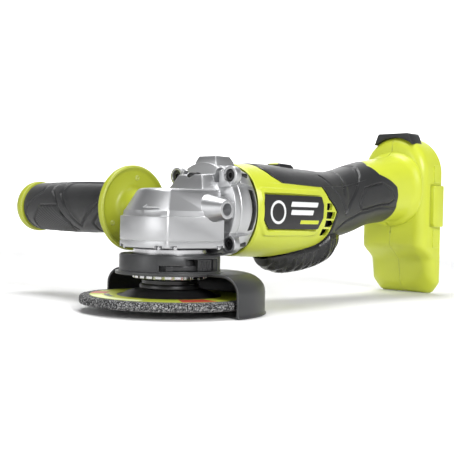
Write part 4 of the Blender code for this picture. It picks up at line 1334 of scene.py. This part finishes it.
def make_wheel(body):
    """Depressed-centre wheel with chipped edges, a hub of plain binder and the label round it."""
    low = WHEEL_LOW.z
    rim_top = -55.4
    profile = [(30.0, rim_top - 0.3), (46.0, rim_top - 0.05), (WHEEL_R - 7, rim_top),
               (WHEEL_R - 3, rim_top - 0.05),
               (WHEEL_R - 0.9, rim_top - 0.2), (WHEEL_R - 0.1, rim_top - 0.9), (WHEEL_R, rim_top - 2.0),
               (WHEEL_R, rim_top - 3.2), (WHEEL_R, low + 1.4), (WHEEL_R - 0.4, low + 0.5), (WHEEL_R - 1.4,
                                                                                            low + 0.1),
               (WHEEL_R - 5, low), (45, low), (34, low), (29.5, -56.8), (30.0, -56.4)]
    rim = turned("wheel_rim", profile, "Z", steps=240, wobble=wheel_wobble)
    present(rim, finish("grit"), body, ("grinding_wheel",), angle=60)
    hub = turned("wheel_hub", [
        (11.2, -51.2), (20.6, -51.2), (22.5, -51.5), (27.0, -53.0), (30.4, -54.9), (32.4, rim_top + 0.1),
        (33.4, rim_top + 0.05), (33.4, rim_top - 0.4), (29.8, -56.6), (21.0, -55.2), (11.2, -55.2)], "Z",
        steps=96)
    present(hub, finish("black"), body, angle=40)
    sectors = [("label", 0, 360, 33.5, 50.5, 0.16), ("red", 118, 134, 40.5, 50.4, 0.24),
               ("red", 236, 262, 36.0, 50.4, 0.24),
               ("red", 20, 40, 36.0, 50.4, 0.24), ("pale_label", 148, 206, 43.0, 50.4, 0.22),
               ("badge", 138, 166, 38.0, 41.5, 0.22)]
    for number, (look, first, last, inner, outer, rise) in enumerate(sectors, 1):
        z0, z1 = rim_top - 0.3, rim_top + rise
        profile = [(inner, z0), (inner, z1), (outer, z1 - 0.02), (outer, z0)]
        name = f"wheel_label_{number}"
        if last - first == 360:
            part = turned(name, profile, "Z", steps=180)
        else:
            part = turned(name, profile, "Z", steps=24, sweep=(first, last))
        present(part, finish(look), body)


def make_clamp_parts(body):
    """Backing flange, and the round clamping nut with its spanner holes."""
    low, high = node_mm("inner_flange")
    flange = turned("backing_flange", [
        (8.3, high.z), (high.x - 0.5, high.z), (high.x, high.z - 0.5), (high.x, -47.6), (high.x + 0.9, -48.0),
        (high.x + 1.4, -48.6), (high.x + 1.4, -50.4), (high.x + 0.8, -51.0), (10.8, -51.0), (10.8, low.z),
        (8.3, low.z)], "Z", steps=72)
    present(flange, finish("dark_steel"), body, ("inner_flange",))
    low, high = node_mm("clamp_nut")
    nut = turned("spanner_nut", [
        (10.8, high.z), (10.8, -55.3), (high.x, -55.3), (high.x, low.z + 0.9), (high.x - 0.9, low.z), (8.3,
                                                                                                       low.z),
        (8.3, high.z)], "Z", steps=72)
    holes = [rod("pin_hole", 1.9, (12.4 * math.cos(math.radians(a)), 12.4 * math.sin(math.radians(a)),
                                   low.z - 1),
                 (12.4 * math.cos(math.radians(a)), 12.4 * math.sin(math.radians(a)), low.z + 3), 20)
             for a in (0, 90, 180, 270)]
    carve(nut, *holes)
    soften(nut, 0.2, 2, 50)
    present(nut, finish("machined"), body, ("clamp_nut",))
    low, high = node_mm("spindle")
    thread = []
    z = -46.0
    while z > low.z + 1.2:
        thread += [(7.25, z), (7.9, z - 0.55), (7.9, z - 0.8), (7.25, z - 1.35)]
        z -= 1.6
    screw = turned("threaded_spindle", [(0, 9.0), (3.9, 9.0), (3.9, -8.0), (5.6, -8.0), (5.6, -38.9),
                                        (8.9, -38.9),
                                        (8.9, -44.9), (7.25, -44.9)] + thread + [(7.2, low.z + 0.5),
                                                                                 (6.6, low.z), (0, low.z)],
                   "Z", steps=48)
    present(screw, finish("machined"), body, ("spindle",), angle=30)


# ---------------------------------------------------------------- guard

COLLAR_R = 32.3


def make_guard(body):
    """Pressed guard: rounded skirt over the rear half of the wheel, with a rolled lip, and its deck."""
    top, foot = GUARD_HIGH.z, GUARD_LOW.z
    outer = GUARD_HIGH.y - 0.9
    wall = 1.6
    profile = [(34.6, top)]
    deck_r, drop_r = 47.0, outer
    for i in range(9):
        a = math.radians(90 * i / 8)
        profile.append((deck_r + (drop_r - deck_r) * math.sin(a), top - 11.5 * (1 - math.cos(a))))
    profile += [(outer, foot + 2.4), (outer + 0.25, foot + 1.5), (outer + 0.9, foot + 0.7),
                (outer + 0.9, foot + 0.1),
                (outer + 0.2, foot), (outer - wall, foot), (outer - wall, foot + 3.0)]
    for i in range(8, -1, -1):
        a = math.radians(90 * i / 8)
        profile.append((deck_r + (drop_r - wall - deck_r) * math.sin(a),
                        top - wall - (11.5 - wall) * (1 - math.cos(a))))
    profile.append((34.6, top - wall))
    shroud = turned("guard_skirt", profile, "Z", steps=96, sweep=(-91, 91))
    soften(shroud, 0.35, 2, 50)
    present(shroud, finish("guard"), body, ("guard_shroud",), angle=40)
    low, high = COLLAR_LOW, COLLAR_HIGH
    band = COLLAR_R
    collar = turned("guard_band", [
        (24.1, high.z), (band - 1.6, high.z), (band - 0.5, high.z - 0.35), (band, high.z - 1.3), (band,
                                                                                                  low.z + 2.6),
        (band + 0.6, low.z + 1.8), (34.6, low.z + 1.6), (34.6, low.z), (24.1, low.z)], "Z", steps=128)
    low_room = turned("latch_room", [(26.3, -38.9), (36, -38.9), (36, -35.0), (26.3, -35.0)], "Z", steps=24,
                      sweep=(-145, -115))
    room = turned("latch_room", [(26.3, -38.9), (36, -38.9), (36, -30.9), (26.3, -30.9)], "Z", steps=32,
                  sweep=(-116, -65))
    carve(collar, low_room, room)
    lip = turned("pocket_lip", [(band - 0.2, -38.9), (band + 0.5, -38.9), (band + 0.5, -40.0),
                                (band - 0.2, -40.0)], "Z",
                 steps=40, sweep=(-144, -60))
    fuse(collar, lip)
    soften(collar, 0.25, 2, 50)
    present(collar, finish("guard"), body, ("guard_collar",), angle=35)


def make_latch(body):
    """Guard lever: a stepped bar, a ribbed thumb pad and a hook at its free end."""
    low, high = -38.3, -31.4
    bar = turned("latch_bar", [(28.4, low), (29.8, low), (29.8, low + 2.8), (28.4, low + 2.8)], "Z", steps=40,
                 sweep=(-137, -70))
    for first, last, outer, top in ((-136.7, -130.2, 32.3, low + 2.8), (-101.0, -81.0, 32.6, high),
                                    (-75.5, -70.5, 32.2, high), (-81.4, -75.0, 29.8, high)):
        fuse(bar, turned("latch_step", [(28.6, low), (outer, low), (outer, top), (28.6, top)], "Z", steps=12,
                         sweep=(first, last)))
    ribs = []
    for i in range(4):
        a = math.radians(-97.0 + 4.0 * i)
        bm = bmesh.new()
        place = Matrix.Rotation(a, 4, "Z") @ Matrix.Translation((32.6, 0, (low + high) / 2))
        bmesh.ops.create_cube(bm, size=1.0, matrix=place @ Matrix.Diagonal((0.9, 0.9, high - low - 1.4, 1.0)))
        ribs.append(solid("rib_gap", bm))
    carve(bar, *ribs)
    soften(bar, 0.25, 2, 45)
    present(bar, finish("dark_steel"), body, ("guard_latch",), angle=35)


# ---------------------------------------------------------------- side handle

SLEEVE_LINES = [
    [(138, 69), (138.6, 36), (149, 12), (154.3, -2), (157.3, -19), (154, -78)],
    [(114, 73), (115, 33), (108, 9), (97.5, -33), (93.6, -48), (82.7, -19), (68.5, 16), (60, 40)],
    [(67, -9), (78.7, -39), (77.6, -76)],
    [(128, 73), (127, 40), (121, 26), (109, -26), (101, -60)],
]
SLEEVE_PANEL = [(151, -78), (148, -33), (137, 3), (118, 3), (104.5, -36), (107, -78)]
SLEEVE_ARC = math.radians(1) * 18.0


def sleeve_relief(along, angle):
    """Depth of the handle grip's lines and of the hatching on its six-sided panel."""
    turn = (math.degrees(angle) + 180) % 180
    if turn > 90:
        turn -= 180
    here = (along, turn * SLEEVE_ARC)
    settings = detail()
    lift = 0.0
    for line in SLEEVE_LINES:
        flat = [(a, b * SLEEVE_ARC) for a, b in line]
        lift += groove(distance_to_line(here, flat), settings.groove_width / MM / 2 + 0.2,
                       settings.groove_depth / MM * 1.1)
    panel = [(a, b * SLEEVE_ARC) for a, b in SLEEVE_PANEL]
    away = distance_to_line(here, panel + panel[:1])
    lift += groove(away, 0.9, settings.groove_depth / MM)
    if inside_outline(here, panel) and away > 1.0:
        lift += 0.28 * math.cos((here[0] * 0.55 - here[1] * 0.83) * 2 * math.pi / 2.1)
    valley = [(a, b * SLEEVE_ARC) for a, b in ((114, 73), (115, 33), (108, 9), (97.5, -33), (93.6, -48),
                                               (82.7, -19),
                                                (68.5, 16), (60, 40), (60, 73))]
    if inside_outline(here, valley):
        lift -= 0.7 * eased(distance_to_line(here, valley) / 5.0)
    return lift


def make_side_handle(body):
    """Screw-in side handle: dished hand guard, moulded sleeve and end cap."""
    at = (HANDLE_X, 0, 0)
    y0, y1 = FLANGE_LOW.y, FLANGE_HIGH.y
    r = (FLANGE_HIGH.z - FLANGE_LOW.z) / 2
    disc = turned("hand_guard", [
        (3.9, y0), (10.6, y0), (11.4, y0 + 0.8), (12.2, y0 + 9), (13.2, y0 + 12.4), (14.6, y0 + 14.2), (16.4,
                                                                                                        y0 + 15.0),
        (24.6, y0 + 15.0), (26.2, y0 + 14.4), (27.0, y0 + 13.4), (27.9, y0 + 12.9), (28.9, y0 + 13.3), (r,
                                                                                                        y0 + 14.3),
        (r, y1 - 1.5), (r - 0.9, y1 - 0.5), (26, y1), (14, y1), (3.9, y1)], "Y", at, 96)
    pips = []
    for degrees in (82, 210, 262, 30):
        a = math.radians(degrees)
        x, z = HANDLE_X + 21 * math.cos(a), 21 * math.sin(a)
        pip = turned("pip", [(0, y0 + 15.6), (1.7, y0 + 15.6), (1.7, y0 + 14.4), (1.1, y0 + 14.1),
                             (0.9, y0 + 14.6),
                             (0, y0 + 14.6)], "Y", (x, 0, z), 20)
        pips.append(pip)
    fuse(disc, *pips)
    present(disc, finish("flange"), body, ("handle_flange",), angle=35)
    low, high = node_mm("handle_sleeve")
    end = high.y
    outline = [(15.4, low.y), (15.9, 58.5), (16.6, 62), (17.4, 70), (18.1, 80), (18.5, 92), (18.6, 105),
               (18.6, 118),
               (18.4, 132), (18.1, 148), (17.8, 156), (17.3, 159.2), (16.4, end)]
    bm = bmesh.new()
    rows = []
    count = 150
    for i in range(count + 1):
        along = low.y + (end - low.y) * i / count
        radius = between([(h, r_) for r_, h in outline], along)
        row = []
        for j in range(168):
            angle = 2 * math.pi * j / 168
            out = radius + (sleeve_relief(along, math.pi - angle) if 58 < along < 159 else 0.0)
            row.append((HANDLE_X + out * math.cos(angle), along, out * math.sin(angle)))
        rows.append(row)
    for radius, along in ((7.0, end), (7.0, 138.4), (3.9, 138.4), (3.9, low.y)):
        rows.append([(HANDLE_X + radius * math.cos(2 * math.pi * j / 168), along,
                      radius * math.sin(2 * math.pi * j / 168))
                     for j in range(168)])
    grid_faces(bm, rows, wrap_rows=True, wrap_columns=True)
    sleeve = solid("handle_rubber", bm)
    present(sleeve, finish("rubber"), body, ("handle_sleeve",), angle=60)
    low, high = node_mm("handle_end_cap")
    cap_r = (high.z - low.z) / 2
    cap = turned("handle_cap", [
        (0, high.y), (6, high.y - 0.1), (11.0, high.y - 0.7), (14.6, high.y - 1.8), (17.4, high.y - 3.4),
        (18.6, high.y - 5.2), (cap_r, high.y - 7.4), (cap_r, high.y - 9.2), (18.4, high.y - 10.4), (17.2,
                                                                                                    160.6),
        (6.7, 160.6), (6.7, 150.0), (0, 150.0)], "Y", at, 96)
    present(cap, finish("flange"), body, ("handle_end_cap",), angle=35)


# ---------------------------------------------------------------- small pieces and inside pieces

def make_lock_button(body):
    low, high = node_mm("spindle_lock_button")
    x = (low.x + high.x) / 2
    r = (high.x - low.x) / 2
    button = turned("lock_plunger", [
        (0, high.z), (2.4, high.z - 0.05), (3.6, high.z - 0.4), (4.2, high.z - 1.0), (r, high.z - 1.9), (r,
                                                                                                         20.6),
        (1.3, 20.6), (1.3, 7.6), (0, 7.6)], "Z", (x, 0, 0), 40)
    present(button, finish("black"), body, ("spindle_lock_button",))


def make_housing_screws(body):
    """Housing screws with star sockets, sunk in the right side."""
    for number in range(1, 5):
        low, high = node_mm(f"housing_screw_{number}")
        x, z = (low.x + high.x) / 2, (low.z + high.z) / 2
        screw = turned(f"star_screw_{number}", [
            (0, high.y), (2.2, high.y), (2.8, high.y - 0.5), (2.8, high.y - 2.2), (1.4, high.y - 2.2),
            (1.4, low.y), (0, low.y)], "Y", (x, 0, z), 24)
        star = slab("star", [(x + (1.5 if i % 2 else 0.9) * math.cos(math.radians(30 * i)),
                              z + (1.5 if i % 2 else 0.9) * math.sin(math.radians(30 * i))) for i in range(12)],
                    "Y", high.y - 1.4, high.y + 1)
        carve(screw, star)
        present(screw, finish("dark_steel"), body, (f"housing_screw_{number}",))


INNER_FINISH = {
    "machined": ("lower_spindle_bearing", "upper_spindle_bearing", "motor_front_bearing",
                 "motor_rear_bearing",
                 "spindle_lock_spring", "crown_gear", "motor_shaft", "rotor", "pinion",
                 "handle_stud"),
    "dark_steel": ("latch_pin", "latch_spring"),
    "black": ("switch_module", "switch_rod", "capacitor_block", "terminal_block", "motor_end_bracket",
              "cooling_fan"),
    "copper": ("stator", "motor_lead_1", "motor_lead_2", "motor_lead_3", "battery_lead_minus",
               "battery_lead_plus"),
    "board": ("control_board",),
}


def make_inside():
    """Finish of the pieces that keep the frame's own shape."""
    for look, names in INNER_FINISH.items():
        dress(names, finish(look), bevel=0.15)


# ---------------------------------------------------------------- stage

def area_light(name, place, aim, size, power, colour=(1, 1, 1)):
    light = bpy.data.lights.new(name, "AREA")
    light.shape = "RECTANGLE"
    light.size, light.size_y = size
    light.energy = power
    light.color = colour
    item = bpy.data.objects.new(name, light)
    item.location = place
    item.rotation_euler = (Vector(aim) - Vector(place)).to_track_quat("-Z", "Y").to_euler()
    bpy.context.scene.collection.objects.link(item)


def make_floor():
    """Pale floor that curves up into a backdrop."""
    size, radius, rise, reach = 3.2, 0.7, 3.0, 9.0
    outline = [(-reach, 0.0), (size - radius, 0.0)]
    outline += [(size - radius + radius * math.sin(a), radius - radius * math.cos(a))
                for a in (math.pi / 2 * i / 16 for i in range(1, 17))]
    outline.append((size, rise))
    bm = bmesh.new()
    grid_faces(bm, [[(along, across, up) for across in (-reach, reach)] for along, up in outline])
    mesh = bpy.data.meshes.new("floor")
    bm.to_mesh(mesh)
    bm.free()
    floor = bpy.data.objects.new("floor", mesh)
    bpy.context.scene.collection.objects.link(floor)
    floor.location = (0.05, 0.05, FLOOR_Z - 0.0002)
    floor.rotation_euler = (0, 0, math.radians(90) - VIEW_TURN)
    mesh.shade_smooth()
    paint = bpy.data.materials.new("floor_paint")
    paint.use_nodes = True
    shader = paint.node_tree.nodes["Principled BSDF"]
    shader.inputs["Base Color"].default_value = (0.86, 0.86, 0.86, 1)
    shader.inputs["Roughness"].default_value = 0.85
    shader.inputs["Specular IOR Level"].default_value = 0.2
    mesh.materials.append(paint)


VIEW_TURN = math.radians(46.37)      # heading of the view, clockwise from +Y
VIEW_DROP = math.radians(0.83)
VIEW_ROLL = math.radians(-1.31)
VIEW_FROM = (-0.40162, -0.43272, 0.05544)


def make_lights():
    """A large key from the left, a soft fill from the right, a lamp overhead and one for the backdrop."""
    aim = (0.08, 0.0, 0.05)
    area_light("key", (-0.35, -1.25, 0.8), aim, (0.5, 0.7), 18)
    area_light("fill", (-1.35, 0.25, 0.45), aim, (0.5, 0.7), 4)
    area_light("top", (0.2, 0.25, 1.3), aim, (0.9, 0.6), 15)
    area_light("backdrop", (1.2, 1.1, 1.6), (2.3, 2.2, 0.7), (2.2, 1.4), 90)


def make_camera():
    camera = bpy.data.cameras.new("camera")
    camera.lens = 73.0
    camera.sensor_width = 36.0
    camera.clip_start, camera.clip_end = 0.01, 20.0
    item = bpy.data.objects.new("camera", camera)
    forward = Vector((math.sin(VIEW_TURN) * math.cos(VIEW_DROP), math.cos(VIEW_TURN) * math.cos(VIEW_DROP),
                      -math.sin(VIEW_DROP)))
    level = Vector((math.cos(VIEW_TURN), -math.sin(VIEW_TURN), 0.0))
    down = forward.cross(level)
    right = level * math.cos(VIEW_ROLL) + down * math.sin(VIEW_ROLL)
    low = down * math.cos(VIEW_ROLL) - level * math.sin(VIEW_ROLL)
    item.matrix_world = Matrix.Translation(VIEW_FROM) @ Matrix((right, -low, -forward)).transposed().to_4x4()
    bpy.context.scene.collection.objects.link(item)
    bpy.context.scene.camera = item


def make_world():
    world = bpy.data.worlds.new("studio")
    world.use_nodes = True
    tree = world.node_tree
    direction = tree.nodes.new("ShaderNodeTexCoord")
    parts = tree.nodes.new("ShaderNodeSeparateXYZ")
    tree.links.new(direction.outputs["Generated"], parts.inputs["Vector"])
    sky = tree.nodes.new("ShaderNodeValToRGB")
    sky.color_ramp.elements[0].position = 0.05
    sky.color_ramp.elements[0].color = (1.0, 1.0, 1.0, 1)
    sky.color_ramp.elements[1].position = 0.55
    sky.color_ramp.elements[1].color = (0.08, 0.08, 0.083, 1)
    tree.links.new(parts.outputs["Z"], sky.inputs["Fac"])
    tree.links.new(sky.outputs["Color"], tree.nodes["Background"].inputs["Color"])
    tree.nodes["Background"].inputs["Strength"].default_value = 0.85
    bpy.context.scene.world = world
    bpy.context.scene.view_settings.view_transform = "Standard"


# ---------------------------------------------------------------- operators and panel

TOOL = "tool_body"
SIDES = ((-1, "left"), (1, "right"))


class GRINDER_OT_motor_shell(bpy.types.Operator):
    """Two halves of the coloured shell round the motor"""
    bl_idname = "grinder.motor_shell"
    bl_label = "Motor shell"

    def execute(self, context):
        for side, word in SIDES:
            make_motor_shell(side, TOOL, f"housing_{word}")
        return {"FINISHED"}


class GRINDER_OT_badges(bpy.types.Operator):
    """Plates with a plain emblem on both sides"""
    bl_idname = "grinder.badges"
    bl_label = "Badges"

    def execute(self, context):
        for side, word in SIDES:
            make_badge(side, TOOL, f"badge_{word}")
        return {"FINISHED"}


class GRINDER_OT_grip(bpy.types.Operator):
    """Soft grip round the handle, and the shell behind it"""
    bl_idname = "grinder.grip"
    bl_label = "Soft grip"

    def execute(self, context):
        make_grip_skin(TOOL)
        for side, _ in SIDES:
            make_neck_skin(side, TOOL)
        return {"FINISHED"}


class GRINDER_OT_socket(bpy.types.Operator):
    """Two halves of the battery socket, and the bumper over them"""
    bl_idname = "grinder.socket"
    bl_label = "Battery socket"

    def execute(self, context):
        for side, _ in SIDES:
            make_socket(side, TOOL)
        make_bumper(TOOL)
        return {"FINISHED"}


class GRINDER_OT_screen(bpy.types.Operator):
    """Lattice screen over the air intake under the housing"""
    bl_idname = "grinder.screen"
    bl_label = "Air screen"

    def execute(self, context):
        make_screen(TOOL)
        return {"FINISHED"}


class GRINDER_OT_slider(bpy.types.Operator):
    """Slider that switches the motor on"""
    bl_idname = "grinder.slider"
    bl_label = "Power slider"

    def execute(self, context):
        make_slider("power_switch")
        return {"FINISHED"}


class GRINDER_OT_gear_case(bpy.types.Operator):
    """Cast case round the bevel gears"""
    bl_idname = "grinder.gear_case"
    bl_label = "Gear case"

    def execute(self, context):
        make_gear_case(TOOL)
        return {"FINISHED"}


class GRINDER_OT_adapter(bpy.types.Operator):
    """Cast ring between the gear case and the housing"""
    bl_idname = "grinder.adapter"
    bl_label = "Motor adapter"

    def execute(self, context):
        make_adapter(TOOL)
        return {"FINISHED"}


class GRINDER_OT_screws(bpy.types.Operator):
    """Screws of the gear case and of the housing"""
    bl_idname = "grinder.screws"
    bl_label = "Screws"

    def execute(self, context):
        make_cap_screws(TOOL)
        make_housing_screws(TOOL)
        return {"FINISHED"}


class GRINDER_OT_lock_button(bpy.types.Operator):
    """Button that holds the spindle"""
    bl_idname = "grinder.lock_button"
    bl_label = "Spindle lock"

    def execute(self, context):
        make_lock_button("lock_button")
        return {"FINISHED"}


class GRINDER_OT_neck(bpy.types.Operator):
    """Ground neck that the guard clamps round"""
    bl_idname = "grinder.neck"
    bl_label = "Clamping neck"

    def execute(self, context):
        make_neck(TOOL)
        return {"FINISHED"}


class GRINDER_OT_wheel(bpy.types.Operator):
    """Spindle, flange, wheel and clamping nut"""
    bl_idname = "grinder.wheel"
    bl_label = "Wheel set"

    def execute(self, context):
        make_wheel("spindle_set")
        make_clamp_parts("spindle_set")
        return {"FINISHED"}


class GRINDER_OT_guard(bpy.types.Operator):
    """Wheel guard and its band"""
    bl_idname = "grinder.guard"
    bl_label = "Guard"

    def execute(self, context):
        make_guard("guard")
        return {"FINISHED"}


class GRINDER_OT_latch(bpy.types.Operator):
    """Lever that frees the guard"""
    bl_idname = "grinder.latch"
    bl_label = "Guard lever"

    def execute(self, context):
        make_latch("guard_clamp")
        return {"FINISHED"}


class GRINDER_OT_side_handle(bpy.types.Operator):
    """Screw-in handle with its hand guard, sleeve and cap"""
    bl_idname = "grinder.side_handle"
    bl_label = "Side handle"

    def execute(self, context):
        make_side_handle("side_handle")
        return {"FINISHED"}


class GRINDER_OT_inside(bpy.types.Operator):
    """Finish of the pieces that keep the frame's own shape"""
    bl_idname = "grinder.inside"
    bl_label = "Inner pieces"

    def execute(self, context):
        make_inside()
        return {"FINISHED"}


class GRINDER_OT_stage(bpy.types.Operator):
    """Floor, lights, backdrop and camera"""
    bl_idname = "grinder.stage"
    bl_label = "Stage"

    def execute(self, context):
        make_floor()
        make_lights()
        make_world()
        make_camera()
        return {"FINISHED"}


OPERATORS = (
    GRINDER_OT_motor_shell, GRINDER_OT_badges, GRINDER_OT_grip, GRINDER_OT_socket, GRINDER_OT_screen,
    GRINDER_OT_slider, GRINDER_OT_gear_case, GRINDER_OT_adapter, GRINDER_OT_screws, GRINDER_OT_lock_button,
    GRINDER_OT_neck, GRINDER_OT_wheel, GRINDER_OT_guard, GRINDER_OT_latch, GRINDER_OT_side_handle,
    GRINDER_OT_inside, GRINDER_OT_stage,
)


class GRINDER_PT_pieces(bpy.types.Panel):
    """Lists what builds the grinder"""
    bl_label = "Grinder"
    bl_idname = "GRINDER_PT_pieces"
    bl_space_type = "VIEW_3D"
    bl_region_type = "UI"
    bl_category = "Grinder"

    def draw(self, context):
        for settings in (context.scene.grinder_colours, context.scene.grinder_detail):
            box = self.layout.box()
            for name in settings.__annotations__:
                box.prop(settings, name)
        column = self.layout.column(align=True)
        for operator in OPERATORS:
            column.operator(operator.bl_idname)


CLASSES = (GrinderColours, GrinderDetail) + OPERATORS + (GRINDER_PT_pieces,)


def register():
    for item in CLASSES:
        bpy.utils.register_class(item)
    bpy.types.Scene.grinder_colours = bpy.props.PointerProperty(type=GrinderColours)
    bpy.types.Scene.grinder_detail = bpy.props.PointerProperty(type=GrinderDetail)


def unregister():
    del bpy.types.Scene.grinder_colours
    del bpy.types.Scene.grinder_detail
    for item in reversed(CLASSES):
        bpy.utils.unregister_class(item)


def main():
    register()
    for operator in OPERATORS:
        if getattr(bpy.ops.grinder, operator.bl_idname.split(".")[1])() != {"FINISHED"}:
            raise RuntimeError(f"{operator.bl_idname} didn't finish")


if __name__ == "__main__":
    main()
